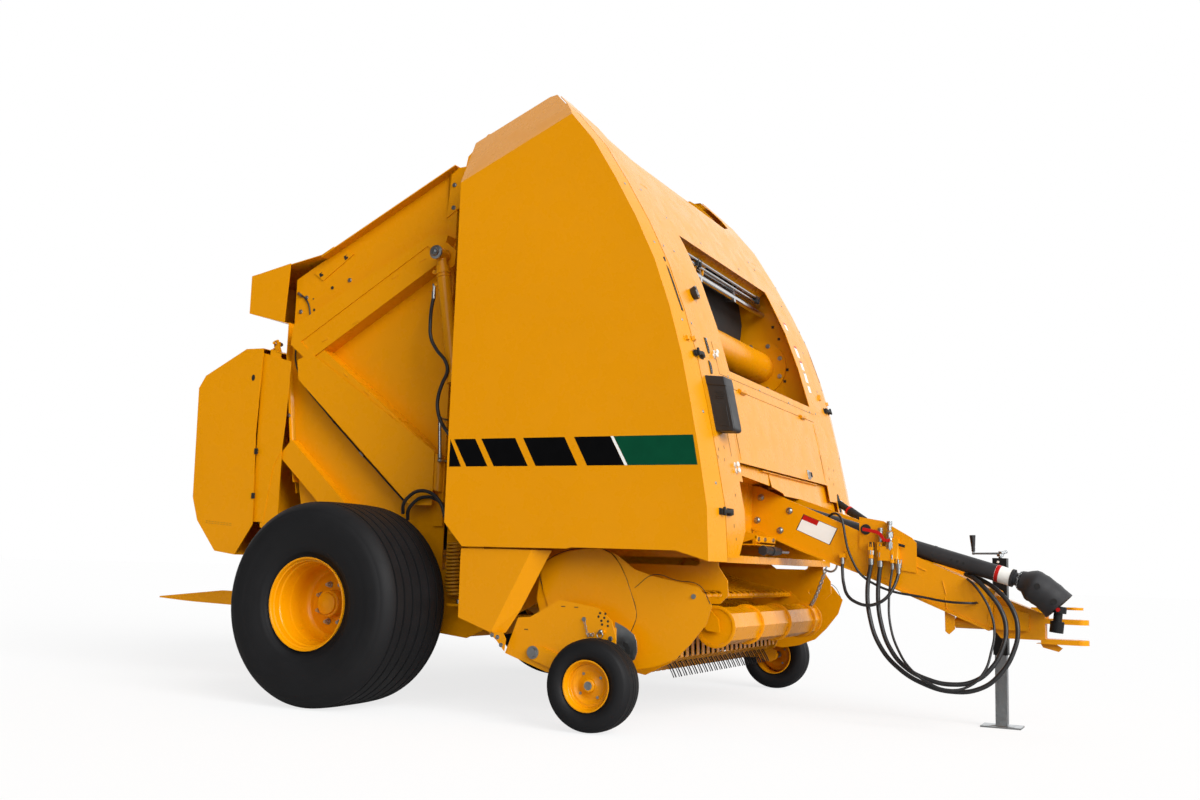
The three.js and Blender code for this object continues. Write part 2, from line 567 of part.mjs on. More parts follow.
function windguardFrame() {
  const { pivot, roller, tube, halfLength } = WINDGUARD;
  const inner = halfLength + 12;
  const arms = [-1, 1].map((side) => {
    const [y0, y1] = side > 0 ? [inner, inner + PLATE] : [-inner - PLATE, -inner];
    const [px, pz] = pivot;
    const [rx, rz] = roller;
    const [tx, tz] = tube;
    const outline = [
      [px - 30, pz - 20], [px, pz + 32], [px + 60, pz + 10], [tx - 60, tz + 12], [tx + 10, tz + 22], [rx + 22, rz + 36],
      [rx + 30, rz - 25], [rx - 30, rz - 20], [tx - 60, tz - 40],
    ];
    return plateXZ(outline, y0, y1);
  });
  const pivots = [-1, 1].map((side) => crossRod(pivot, side * inner, side * (PICKUP.sideY - SEAT), 16));
  const cross = crossRod(tube, -inner, inner, 15, 8);
  const rear = crossRod([1290, 690], -inner, inner, 12, 6);
  const axle = [-1, 1].map((side) => crossRod(roller, side * (inner + 2), side * (halfLength - 12), 14, 12));
  return join(arms, pivots, cross, rear, axle);
}

function windguardRoller() {
  const { roller, radius, halfLength } = WINDGUARD;
  const [x, z] = roller;
  const discs = [-1, -0.42, 0.2, 0.82].map((share) => {
    const y = share * (halfLength - 4);
    return crossRod(roller, y - 2, y + 2, radius, 12);
  });
  const core = crossRod(roller, -halfLength + 2, halfLength - 2, radius - 10, 8);
  const bores = [-1, 1].map((side) => crossRod([x, z], side * (halfLength + 5), side * (halfLength - 40), 15, 12));
  return cut(join(core, discs, crossRod(roller, halfLength - 6, halfLength - 2, radius, 12)), bores);
}

// ---------------------------------------------------------------- tailgate
function tailgateSide() {
  const { pivot, frontX, plate } = TAILGATE;
  const inner = CHAMBER.halfWidth;
  const outer = inner + plate;
  const [px, pz] = pivot;
  const outline = [
    [frontX, 2842], [-565, 2409], [-776, 2300], [-776, 1847], [-710, 1345], [-660, 1073], [-600, 800], [-440, 660],
    [frontX, 668],
  ];
  const sheet = plateXZ(outline, inner, outer);
  const topFlange = plateXZ(folded([[frontX, 2842], [-565, 2409]], -SHEET - 2), outer - 1, outer + 58);
  const rearFlange = plateXZ(folded([[-776, 2040], [-776, 1847], [-710, 1345], [-672, 1130]], SHEET), outer - 1, outer + 46);
  const frontPost = box(frontX - 60, frontX, outer - 1, outer + 18, 900, 2836);
  const arm = plateXZ(
    [[frontX - 60, 2560], [frontX - 40, 2800], [frontX, 2834], [px + 10, pz + 52], [px + 50, pz + 20], [px + 50, pz - 30], [px, pz - 55], [frontX, 2600]],
    outer + 10, outer + 24,
  );
  const bore = crossRod(pivot, outer - 4, outer + 60, 25, 16);
  const brace = (line, depth, reach) => plateXZ(folded(line, depth), outer - 1, outer + reach);
  const upper = plateXZ([[-711, 1900], [-584, 1800], [268, 2300], [306, 2440], [200, 2452], [-700, 2010]], outer - 1, outer + 96);
  const upperHollow = plateXZ([[-640, 1915], [-590, 1868], [236, 2352], [180, 2392]], outer + 90, outer + 120);
  const lower = plateXZ([[-645, 1880], [-540, 1905], [300, 1270], [300, 1080]], outer - 1, outer + 88);
  const foot = brace([[-770, 1276], [-300, 860]], -120, 62);
  const lug = plateXZ([[250, 2250], [240, 2360], [306, 2400], [368, 2350], [360, 2270], [306, 2235]], outer + 95, CYLINDER.y - 36 - CLEAR);
  const pin = crossRod(CYLINDER.top, outer + 95, CYLINDER.y + 44, CYLINDER.pin, 20);
  const washer = crossRod(CYLINDER.top, CYLINDER.y + 37, CYLINDER.y + 46, 38, 12);
  const body = join(sheet, topFlange, rearFlange, frontPost, arm, upper, lower, foot, lug);
  return join(cut(body, bore, upperHollow), pin, washer);
}

function tailgateCross() {
  const inner = CHAMBER.halfWidth - SEAT;
  const tubes = [[250, 2750, 30], [-700, 2240, 30], [-660, 1500, 36], [-400, 700, 40], [250, 712, 40]].map(([x, z, r]) =>
    crossRod([x, z], -inner, inner, r),
  );
  const rearWall = plateXZ(folded([[-790, 2035], [-790, 1850], [-735, 1345], [-690, 1073]], SHEET), -inner, inner);
  const webs = [-400, 400].map((y) =>
    join(
      plateXZ([[-792, 2030], [-690, 2260], [-650, 2240], [-700, 2000]], y - 4, y + 4),
      plateXZ([[-736, 1345], [-660, 1530], [-640, 1480], [-690, 1100], [-400, 720], [-430, 680], [-700, 1080]], y - 4, y + 4),
      plateXZ([[-430, 690], [250, 690], [250, 730], [-400, 720]], y - 4, y + 4),
      plateXZ([[-700, 2220], [-650, 2260], [250, 2770], [260, 2730]], y - 4, y + 4),
    ),
  );
  return join(tubes, rearWall, webs);
}

function tailgateCover() {
  const half = CHAMBER.halfWidth + TAILGATE.plate + 60;
  const line = [[-480, 2456.1], [-560, 2416.3], [-1063, 2330], [-1062, 2108], [-800, 2040]];
  const sheet = plateXZ(folded(line, -SHEET), -half, half);
  const sides = [-1, 1].map((side) => {
    const [y0, y1] = side > 0 ? [half - SHEET, half] : [-half, SHEET - half];
    return plateXZ([[-780, 2384], [-1061, 2329], [-1060, 2110], [-800, 2042]], y0, y1);
  });
  return join(sheet, sides);
}

function netHousing() {
  const half = NET_BOX.halfWidth - 24;
  const line = [[-800, 1860], [-868, 1882], [-885, 1400], [-862, 880], [-760, 840]];
  const sides = [-1, 1].map((side) => {
    const [y0, y1] = side > 0 ? [half - SHEET, half] : [-half, SHEET - half];
    return plateXZ([[-796.3, 1856], [-868, 1882], [-885, 1400], [-862, 880], [-745, 840], [-745, 1345], [-796.3, 1850]], y0, y1);
  });
  const [hx, hz] = NET_BOX.hinge;
  const ears = [-1, 1].map((side) => {
    const y = side * (NET_BOX.halfWidth - 84);
    return join(
      plateXZ([[hx + 45, 1862], [hx + 10, hz + 22], [hx - 16, hz + 16], [hx - 14, hz - 20], [hx + 14, 1870]], y - 5, y + 5),
      crossRod([hx, hz], y - 26, y + 26, 8, 12),
    );
  });
  const seat = box(-806, -794.3, -790, 790, 1852, 1940);
  return join(plateXZ(folded(line, SHEET), -half, half), sides, ears, seat);
}

function netCover() {
  const half = NET_BOX.halfWidth;
  const [hx, hz] = NET_BOX.hinge;
  const outline = [
    [-904, 1889], [-1029, 1891], [-1324, 1747], [-1371, 1676], [-1356, 1041], [-1310, 909], [-1164, 738], [-1016, 720],
    [-898, 893], [-921, 1400],
  ];
  const outer = plateXZ(outline, -half, half);
  const inner = plateXZ(
    [
      [-860, 1885], [-1028, 1886.5], [-1321, 1743], [-1366.5, 1674], [-1351.5, 1042], [-1306, 911], [-1162, 742],
      [-1016, 725], [-860, 700],
    ],
    SHEET - half, half - SHEET,
  );
  const knuckles = [-1, 1].map((side) => {
    const y = side * (NET_BOX.halfWidth - 102);
    const leaf = plateXZ([[hx - 14, hz - 14], [hx - 14, hz + 14], [hx + 12, hz + 12], [hx + 12, hz - 12], [-906, 1886], [-960, 1886]], y - 5, y + 5);
    return cut(leaf, crossRod([hx, hz], y - 20, y + 20, 8.4, 12));
  });
  return join(cut(outer, inner), knuckles);
}

function cylinderBarrel() {
  const { top, foot, y, bore, barrel } = CYLINDER;
  const along = new THREE.Vector2(foot[0] - top[0], foot[1] - top[1]).normalize();
  const at = (distance) => [top[0] + along.x * distance, y, top[1] + along.y * distance];
  const tube = rod(at(70), at(barrel), bore, 12);
  const head = rod(at(barrel - 60), at(barrel), bore + 5, 12);
  const eye = crossRod(top, y - 35, y + 35, 34, 12);
  const neck = rod(at(25), at(80), 26, 16);
  const port = rod([at(95)[0] - 60, y, at(95)[2]], at(95), 12, 10);
  const hollow = rod(at(120), at(barrel + 5), CYLINDER.rod + 0.5, 12);
  const pinHole = crossRod(top, y - 50, y + 50, CYLINDER.pin + 0.5, 20);
  return cut(join(tube, head, eye, neck, port), hollow, pinHole);
}

function cylinderRod() {
  const { top, foot, y, barrel } = CYLINDER;
  const length = Math.hypot(foot[0] - top[0], foot[1] - top[1]);
  const along = new THREE.Vector2(foot[0] - top[0], foot[1] - top[1]).normalize();
  const at = (distance) => [top[0] + along.x * distance, y, top[1] + along.y * distance];
  const shaft = rod(at(140), at(length - 30), CYLINDER.rod, 12);
  return join(shaft, crossRod(foot, y - 30, y + 30, 34, 12), rod(at(barrel + 90), at(length - 20), CYLINDER.rod + 4, 12));
}

// ---------------------------------------------------------------- bale ramp
function baleRamp() {
  const { pivot, y, tip, bar } = RAMP;
  const [px, pz] = pivot;
  const arms = [-1, 1].map((side) => {
    const y0 = side > 0 ? y : -y - bar;
    const outline = [
      [px + 40, pz + 30], [px + 40, pz - 40], [-1000, 420], [-1542, 433], [-1650, 437], [tip, 448], [tip, 456], [-1350, 508], [-1000, 505],
    ];
    return cut(plateXZ(outline, y0, y0 + bar), crossRod(pivot, y0 - 10, y0 + bar + 10, 14.5, 16));
  });
  const tubes = [[-1320, 474, 24], [-760, 462, 28]].map(([x, z, r]) => crossRod([x, z], -y - 2, y + 2, r));
  return join(arms, tubes);
}

// ---------------------------------------------------------------- tongue, hitch and jack
// Height of the tongue's top edge at x.
const tongueTop = (x) => 1160 - (x - 1785) * (500 / 1190);

function tongue() {
  const { halfWidth, sheet, rear, front } = TONGUE;
  const side = [[rear, 1160], [1800, 1157], [front, 660], [front - 30, 475], [2350, 717], [2040, 823], [rear, 935]];
  const high = [[rear, 1160], [1800, 1157], [2300, tongueTop(2300) + 45], [2700, tongueTop(2700) + 45], [front, 660], [front - 30, 475], [2350, 717], [2040, 823], [rear, 935]];
  const near = plateXZ(side, -halfWidth, sheet - halfWidth);
  const far = plateXZ(high, halfWidth - sheet, halfWidth);
  const bottom = plateXZ(folded([[rear, 935], [2040, 823], [2350, 717], [front - 30, 475]], -sheet), 1 - halfWidth, halfWidth - 1);
  const topLine = [[2680, tongueTop(2680) - 1], [front, tongueTop(front) - 1]];
  const top = plateXZ(folded(topLine, sheet), 1 - halfWidth, halfWidth - 1);
  const rearEnd = box(rear, rear + sheet, 1 - halfWidth, halfWidth - 1, 934, 1150);
  const nose = plateXZ(folded([[front - 0.5, 658], [front - 29.5, 478]], 12), 1 - halfWidth, halfWidth - 1);
  const flange = plateXZ(folded([[rear, 935], [2040, 823], [2350, 717], [front - 30, 475]], -sheet), -halfWidth - 14, -halfWidth + 2);
  const clip = box(2236, 2262, -162, 1 - halfWidth, 800, 822);
  return join(near, far, bottom, top, rearEnd, nose, flange, clip);
}

function hitch() {
  const { halfWidth, throat, strap, tip, pin } = HITCH;
  const [low, high] = throat;
  const inset = 116;
  const sole = plateXZ([[2700, 540], [2960, 440], [3170, 440], [3170, 425], [2950, 425], [2690, 525]], -inset + 30, inset - 30);
  const noseX = (z) => TONGUE.front + SEAT + 0.1 - (30 * (660 - z)) / 185;
  const block = plateXZ([[noseX(489), 489], [noseX(640), 640], [3080, 600], [3190, 560], [3190, low], [3100, 425], [2990, 440]], -halfWidth, halfWidth);
  const prong = (z0) => {
    const straight = box(3150, tip - halfWidth, -halfWidth, halfWidth, z0, z0 + strap);
    const nose = rod([tip - halfWidth, 0, z0], [tip - halfWidth, 0, z0 + strap], halfWidth, 16);
    return cut(join(straight, nose), rod([tip - halfWidth, 0, z0 - 5], [tip - halfWidth, 0, z0 + strap + 5], pin, 12));
  };
  const loopRing = cut(
    rod([3310, 58, 584], [3310, 58, 596], 42, 14).add(box(3180, 3310, 30, 90, 584, 596)),
    rod([3310, 58, 570], [3310, 58, 610], 18, 8),
  );
  const loopFoot = box(3120, 3195, 20, 80, 540, 590);
  const ear = plateXZ([[3160, 432], [3220, 430], [3262, 405], [3245, 388], [3175, 405]], -8, 8);
  const cheeks = plateXZ([[noseX(490), 490], [noseX(600), 600], [3120, 560], [3120, 480], [2990, 480]], -halfWidth - 30, halfWidth + 40);
  return join(cut(join(block, cheeks, prong(high), prong(low - strap), ear, loopFoot, loopRing), sole), []);
}

function jackTube() {
  const { x, y, size, leg, top, bottom } = JACK;
  const half = size / 2;
  const hole = leg / 2 + 0.5;
  const tube = cut(
    box(x - half, x + half, y - half, y + half, bottom, top),
    box(x - hole, x + hole, y - hole, y + hole, bottom - 5, top - 12),
  );
  const plate = box(x - 60, x + 20, TONGUE.halfWidth + SEAT, y - half + 1, 500, 640);
  return join(cut(plate, box(x - 60, x + 60, TONGUE.halfWidth + 8, y - half - 4, 480, 490)), tube);
}

function jackLeg() {
  const { x, y, leg, foot, top, stroke } = JACK;
  const half = leg / 2;
  const [footX, footY, footZ] = foot;
  const wall = 5;
  const legTop = top - 12 - stroke - CLEAR;
  const post = cut(
    box(x - half, x + half, y - half, y + half, footZ - 2, legTop),
    box(x - half + wall, x + half - wall, y - half + wall, y + half - wall, footZ + 20, legTop + 5),
  );
  return join(post, box(x - footX / 2, x + footX / 2, y - footY / 2, y + footY / 2, 0, footZ));
}

function jackCrank() {
  const { x, y, top } = JACK;
  const shaft = rod([x, y, top + SEAT], [x, y, top + 30], 9, 12);
  const arm = rod([x, y, top + 24], [x - 138, y, top + 20], 7, 10);
  const grip = rod([x - 138, y, top + 14], [x - 138, y, top + 112], 15, 16);
  return join(shaft, arm, grip);
}

// ---------------------------------------------------------------- driveline
const driveline = {
  rear: new THREE.Vector3(...DRIVELINE.rear),
  front: new THREE.Vector3(...DRIVELINE.front),
};

function drivelineGuard() {
  const { rear, front } = driveline;
  const along = front.clone().sub(rear).normalize();
  const at = (distance) => front.clone().addScaledVector(along, distance).toArray();
  const tube = rod(rear.toArray(), front.toArray(), DRIVELINE.radius, 10);
  const neck = rod(at(-2), at(40), DRIVELINE.radius - 9, 10);
  const bellStart = new THREE.Vector3(...at(34));
  const bellEnd = new THREE.Vector3(...DRIVELINE.mouth);
  const bend = new THREE.CatmullRomCurve3([bellStart, new THREE.Vector3(...DRIVELINE.elbow), bellEnd]);
  const points = bend.getSpacedPoints(3);
  const radii = [46, 76, 73, 80];
  const rings = points.slice(1).map((point, i) => {
    const geometry = new THREE.CylinderGeometry(radii[i + 1], radii[i], points[i].distanceTo(point) + 8, 10);
    geometry.applyQuaternion(new THREE.Quaternion().setFromUnitVectors(Y, point.clone().sub(points[i]).normalize()));
    const middle = point.clone().add(points[i]).multiplyScalar(0.5);
    return solid(geometry.translate(middle.x, middle.y, middle.z));
  });
  const mouth = bellEnd.clone().sub(points[2]).normalize();
  const cavity = rod(points[1].toArray(), bellEnd.clone().addScaledVector(mouth, 30).toArray(), 60, 10);
  const yokeStart = new THREE.Vector3(...YOKE.start);
  const yokeAlong = new THREE.Vector3(...YOKE.end).sub(yokeStart).normalize();
  const onYoke = (distance) => yokeStart.clone().addScaledVector(yokeAlong, distance).toArray();
  const inner = cut(rod(points[1].toArray(), onYoke(15), 24, 6), rod(onYoke(-1), onYoke(90), 60, 6));
  return join(cut(join(tube, neck, rings), cavity), inner);
}

function gearbox() {
  const { rear, front } = driveline;
  const along = rear.clone().sub(front).normalize();
  const housing = box(1790, 1930, -105, 105, 962, 1150);
  const output = rod(rear.clone().addScaledVector(along, SEAT).toArray(), rear.clone().addScaledVector(along, 90).toArray(), 52, 20);
  return join(housing, output, box(TONGUE.rear + TONGUE.sheet + SEAT, 1790.5, -60, 60, 980, 1100));
}

function drivelineYoke() {
  const start = new THREE.Vector3(...YOKE.start);
  const end = new THREE.Vector3(...YOKE.end);
  const along = end.clone().sub(start).normalize();
  const at = (distance) => start.clone().addScaledVector(along, distance).toArray();
  const length = start.distanceTo(end);
  const body = rod(at(20), at(length - 45), YOKE.radius - 5, 16);
  const collar = rod(at(length - 52), at(length), YOKE.radius + 6, 20);
  const fork = rod(at(0), at(30), YOKE.radius + 10, 20);
  return cut(join(body, collar, fork), rod(at(length - 40), at(length + 5), 18, 12));
}

// ---------------------------------------------------------------- valve plate and hoses
function valvePlate() {
  const y = -TONGUE.halfWidth - SEAT;
  const slope = [[2330, 1005], [2450, 985], [2590, 905], [2612, 880], [2612, 735], [2540, 745], [2330, 850]];
  const plate = plateXZ(slope, y - 6, y);
  const block = box(2440, 2490, y - 44, y - 5, 790, 860);
  const valve = box(2490, 2530, y - 40, y - 5, 800, 900);
  const stems = [[2395, 800], [2440, 790], [2500, 780]].map(([x, z]) => rod([x, y - 29.7, z + 70], [x, y - 29.7, z], 14, 12));
  const mounts = [2395, 2440, 2500].map((x) => box(x - 12, x + 12, y - 42, y - 5, 840, 880));
  const outlet = join(box(2518, 2542, y - 42, y - 5, 778, 800), rod([2530, y - 29.7, 790], [2530, y - 29.7, 758], 10, 10));
  return join(plate, block, valve, stems, mounts, outlet);
}

// Each route's points, by hand.
const HOSES = [
  {
    name: "hose_feed", radius: 11,
    points: [
      [2395, -160, 799.3], [2395, -160, 780], [2380, -171, 650], [2395, -187, 520], [2450, -215, 385], [2545, -240, 285],
      [2665, -250, 220], [2795, -245, 192], [2925, -235, 215], [3010, -220, 285], [3068, -200, 390], [3085, -185, 490],
      [3056, -168, 590], [2995, -148, 662], [2920, -100, 708], [2850, -55, 738],
    ],
  },
  {
    name: "hose_return", radius: 11,
    points: [
      [2440, -160, 789.3], [2440, -160, 770], [2432, -172, 620], [2455, -205, 490], [2510, -245, 370], [2590, -275, 290],
      [2690, -290, 245], [2800, -288, 228], [2905, -275, 250], [2975, -255, 310], [3020, -230, 395], [3036, -205, 490],
      [3010, -190, 580], [2955, -180, 655], [2890, -145, 714], [2835, -85, 737],
    ],
  },
  {
    name: "hose_pilot", radius: 6,
    points: [
      [2500, -160, 779.3], [2500, -160, 764], [2490, -190, 610], [2505, -225, 480], [2550, -262, 370], [2620, -305, 285],
      [2700, -320, 232], [2790, -318, 205], [2880, -300, 225], [2945, -280, 290], [2975, -250, 385], [2985, -215, 480],
      [2965, -205, 570], [2925, -195, 645], [2885, -180, 692], [2852, -142, 714],
    ],
  },
  {
    name: "beam_cable", radius: 6,
    points: [
      [2128, -84, 940], [2146, -88, 985], [2172, -99, 1014], [2204, -118, 1021], [2232, -136, 1004], [2250, -147, 966],
      [2260, -149.6, 915], [2274, -149.6, 850], [2300, -149.6, 786], [2330, -151, 734], [2366, -148.6, 700], [2410, -142, 674],
      [2470, -143, 650], [2530, -150.6, 636], [2600, -153, 627], [2670, -157, 617], [2730, -174, 608], [2785, -190, 603],
      [2831, -197, 602], [2858, -192, 602], [2879, -177, 602], [2890, -155, 603], [2893, -131, 604],
    ],
  },
  {
    name: "hose_loop", radius: 8,
    points: [
      [2249, -152, 799.3], [2249, -152, 780], [2251, -156, 730], [2262, -172, 670], [2292, -200, 612], [2340, -212, 582],
      [2390, -215, 572], [2437, -215, 582], [2478, -210, 608], [2505, -196, 647], [2521, -177, 690], [2528.5, -163, 728],
      [2530, -160, 756.5],
    ],
  },
];

function hose({ points, radius }) {
  const route = new THREE.CatmullRomCurve3(points.map((point) => new THREE.Vector3(...point)));
  const steps = Math.min(28, Math.ceil(route.getLength() / (radius * 5)));
  const section = new THREE.Shape();
  section.absarc(0, 0, radius, 0, 2 * Math.PI);
  return solid(new THREE.ExtrudeGeometry(section, { steps, curveSegments: 4, extrudePath: route, bevelEnabled: false }));
}

function documentBox() {
  const back = coverLine(1336, 1606).map(([x, z]) => [x + 2 * SEAT, z]);
  return plateXZ([...back, [1955, 1566], [2006, 1351]], -1060, -930);
}

// ---------------------------------------------------------------- assembly
const baler = new THREE.Group();
const machine = new THREE.Group();
machine.position.x = -BOX_CENTRE_X;
baler.add(machine);

machine.add(
  mesh("main_frame", mainFrame(), YELLOW),
  mesh("belt_tension_tube", beltTensionTube(), YELLOW),
  mesh("window_rollers", windowRollers(), STEEL),
  mesh("front_belts", beltRun([[470, 2890], [900, 2960], [1330, 2500], [1375, 2200], [1330, 1700], [1500, 1500], [1560, 1250], [1180, 860]], 755, [[900, 2915], [1520, 1250]]), BELTING),
  mesh("front_cover", frontCover(), YELLOW),
  mesh("access_door", accessDoor(), YELLOW),
  mesh("driveline_shroud", drivelineShroud(), YELLOW),
  mesh("tongue", tongue(), YELLOW),
  mesh("hitch", hitch(), YELLOW),
  mesh("jack_tube", jackTube(), BLACK_PAINT),
  mesh("jack_leg", jackLeg(), ZINC),
  mesh("jack_crank", jackCrank(), ZINC),
  mesh("gearbox", gearbox(), BLACK_PAINT),
  mesh("driveline_guard", drivelineGuard(), PLASTIC),
  mesh("driveline_yoke", drivelineYoke(), BLACK_PAINT),
  mesh("valve_plate", valvePlate(), YELLOW),
  mesh("document_box", documentBox(), PLASTIC),
  mesh("pickup_frame", pickupFrame(), YELLOW),
  mesh("pickup_reel", reel(), BLACK_PAINT),
  mesh("stripper_bands", stripperBands(), YELLOW),
  mesh("windguard_frame", windguardFrame(), YELLOW),
  mesh("windguard_roller", windguardRoller(), YELLOW),
  mesh("tailgate_cross", tailgateCross(), YELLOW),
  mesh("tailgate_belts", beltRun([[240, 2655], [-520, 2262], [-620, 1850], [-570, 1200], [-300, 800], [240, 790]], 755, [[-510, 2240], [-550, 1200]]), BELTING),
  mesh("tailgate_cover", tailgateCover(), YELLOW),
  mesh("net_housing", netHousing(), YELLOW),
  mesh("net_cover", netCover(), YELLOW),
  mesh("bale_ramp", baleRamp(), YELLOW),
);
for (const route of HOSES) machine.add(mesh(route.name, hose(route), HOSE));

for (const [side, mirror] of [["left", 1], ["right", -1]]) {
  const half = new THREE.Group();
  half.scale.y = mirror;
  half.add(
    wheelGroup(`main_${side}`, mainTyre(), mainRim(), 0, WHEEL.track, WHEEL.radius),
    wheelGroup(`gauge_${side}`, gaugeTyre(), gaugeRim(), GAUGE_WHEEL.x, GAUGE_WHEEL.track, GAUGE_WHEEL.radius),
    mesh(`side_wall_${side}`, sideWall(), YELLOW),
    mesh(`side_shield_${side}`, sideShield(), YELLOW),
    mesh(`lower_side_box_${side}`, lowerSideBox(), YELLOW),
    mesh(`lift_spring_${side}`, liftSpring(), YELLOW),
    mesh(`crop_divider_${side}`, cropDivider(), YELLOW),
    mesh(`gauge_arm_${side}`, gaugeArm(), YELLOW),
    mesh(`tailgate_side_${side}`, tailgateSide(), YELLOW),
    mesh(`cylinder_barrel_${side}`, cylinderBarrel(), YELLOW),
    mesh(`cylinder_rod_${side}`, cylinderRod(), STEEL),
  );
  machine.add(half);
}

export default baler;
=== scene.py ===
"""A trailed round baler, finished piece by piece round its moving frame."""

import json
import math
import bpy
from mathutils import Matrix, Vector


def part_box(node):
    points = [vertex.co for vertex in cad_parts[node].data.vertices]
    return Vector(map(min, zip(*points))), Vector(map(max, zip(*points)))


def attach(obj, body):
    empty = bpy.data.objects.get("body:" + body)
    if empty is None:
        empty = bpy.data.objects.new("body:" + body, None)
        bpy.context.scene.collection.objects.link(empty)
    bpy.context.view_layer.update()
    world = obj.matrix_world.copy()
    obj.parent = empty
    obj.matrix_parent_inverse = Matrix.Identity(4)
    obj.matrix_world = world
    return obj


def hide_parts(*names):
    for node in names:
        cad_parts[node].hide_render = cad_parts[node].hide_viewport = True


bl_info = {
    "name": "Round Baler",
    "version": (1, 0, 0),
    "blender": (4, 5, 0),
    "location": "View3D > Sidebar > Baler",
    "description": "Builds the finished pieces of a trailed round baler round its moving frame",
    "category": "Add Mesh",
}

import bmesh
import bpy
from bpy.props import FloatProperty, FloatVectorProperty, IntProperty, PointerProperty
from mathutils import Matrix, Vector
from mathutils.bvhtree import BVHTree

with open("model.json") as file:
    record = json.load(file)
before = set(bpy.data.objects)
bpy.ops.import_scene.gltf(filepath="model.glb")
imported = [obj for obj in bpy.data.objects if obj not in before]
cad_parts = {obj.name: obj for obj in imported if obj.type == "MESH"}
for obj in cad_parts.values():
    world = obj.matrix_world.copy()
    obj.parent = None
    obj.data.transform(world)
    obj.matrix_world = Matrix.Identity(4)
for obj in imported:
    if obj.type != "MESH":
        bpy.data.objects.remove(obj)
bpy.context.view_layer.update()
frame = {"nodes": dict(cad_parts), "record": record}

SLOTS = {part["node"]: part["material_slot"] for part in frame["record"]["subparts"]}


def middle(node):
    """Centre of a frame node's box at rest."""
    low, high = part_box(node)
    return (Vector(low) + Vector(high)) / 2


AXLE_X = middle("main_left_tyre").x
X, Y, Z = Vector((1, 0, 0)), Vector((0, 1, 0)), Vector((0, 0, 1))
SIDES = (("right", -1), ("left", 1))


def at(x, y, z):
    """A point measured from the ground under the middle of the axle, in metres."""
    return Vector((AXLE_X + x, y, z))


# ---------------------------------------------------------------- colours and materials
def linear(hex_value):
    """An sRGB hex colour as the linear numbers a shader takes."""
    channels = [int(hex_value[i:i + 2], 16) / 255 for i in (0, 2, 4)]
    return [c / 12.92 if c <= 0.04045 else ((c + 0.055) / 1.055) ** 2.4 for c in channels]


def shade(hex_value):
    """The same with an alpha of 1."""
    return (*linear(hex_value), 1.0)


def add(tree, kind, settings=None, links=None):
    """Adds a node, sets its attributes or inputs, and links sockets into its inputs."""
    made = tree.nodes.new(kind)
    for key, value in (settings or {}).items():
        if isinstance(key, str) and hasattr(made, key):
            setattr(made, key, value)
        else:
            made.inputs[key].default_value = value
    for key, source in (links or {}).items():
        tree.links.new(source, made.inputs[key])
    return made


def blank_material(name):
    """A material with an empty node tree."""
    made = bpy.data.materials.new(name)
    made.use_nodes = True
    made.node_tree.nodes.clear()
    return made, made.node_tree


def finish_surface(made, tree, settings, links):
    """Ends a material with its Principled shader."""
    surface = add(tree, "ShaderNodeBsdfPrincipled", settings, links)
    add(tree, "ShaderNodeOutputMaterial", None, {"Surface": surface.outputs[0]})
    return made


def powder_coat(name, light, deep, roughness=(0.24, 0.36)):
    """Baked polyester powder on steel sheet: an even glossy skin with a faint orange peel, slightly deeper
    where it lies thicker, and a film of dust that dulls it in patches."""
    made, tree = blank_material(name)
    place = add(tree, "ShaderNodeTexCoord").outputs["Object"]
    # Thickness of the coat drifts over about half a metre.
    drift = add(tree, "ShaderNodeTexNoise", {"Scale": 2.1, "Detail": 3.0, "Roughness": 0.5}, {"Vector": place})
    tone = add(tree, "ShaderNodeMix", {"data_type": "RGBA", 6: shade(light), 7: shade(deep)}, {0: drift.outputs["Fac"]})
    # Dust lies in patches of 60 to 200 mm.
    dust = add(tree, "ShaderNodeTexNoise", {"Scale": 9.0, "Detail": 6.0, "Roughness": 0.62}, {"Vector": place})
    dull = add(
        tree, "ShaderNodeMapRange", {"From Min": 0.38, "From Max": 0.72, "To Min": roughness[0], "To Max": roughness[1]},
        {"Value": dust.outputs["Fac"]},
    )
    # Orange peel of the powder is 2 mm across; drawn at 5 mm so that it shows.
    peel = add(tree, "ShaderNodeTexNoise", {"Scale": 200.0, "Detail": 2.0}, {"Vector": place})
    bump = add(tree, "ShaderNodeBump", {"Strength": 0.02, "Distance": 0.0005}, {"Height": peel.outputs["Fac"]})
    return finish_surface(
        made, tree, {"IOR": 1.33},
        {"Base Color": tone.outputs[2], "Roughness": dull.outputs["Result"], "Normal": bump.outputs["Normal"]},
    )


def zinc_plate(name, light="C3C6C8", deep="8F9497", roughness=(0.28, 0.46)):
    """Steel with a passivated zinc plating: a cool metal with cloudy patches of brighter and duller film."""
    made, tree = blank_material(name)
    place = add(tree, "ShaderNodeTexCoord").outputs["Object"]
    # Clouding of the passivation, about 20 mm across.
    cloud = add(tree, "ShaderNodeTexNoise", {"Scale": 46.0, "Detail": 5.0, "Roughness": 0.6}, {"Vector": place})
    tone = add(tree, "ShaderNodeMix", {"data_type": "RGBA", 6: shade(light), 7: shade(deep)}, {0: cloud.outputs["Fac"]})
    dull = add(
        tree, "ShaderNodeMapRange", {"From Min": 0.3, "From Max": 0.7, "To Min": roughness[0], "To Max": roughness[1]},
        {"Value": cloud.outputs["Fac"]},
    )
    grain = add(tree, "ShaderNodeTexNoise", {"Scale": 320.0, "Detail": 3.0}, {"Vector": place})
    bump = add(tree, "ShaderNodeBump", {"Strength": 0.08, "Distance": 0.0004}, {"Height": grain.outputs["Fac"]})
    return finish_surface(
        made, tree, {"Metallic": 1.0},
        {"Base Color": tone.outputs[2], "Roughness": dull.outputs["Result"], "Normal": bump.outputs["Normal"]},
    )


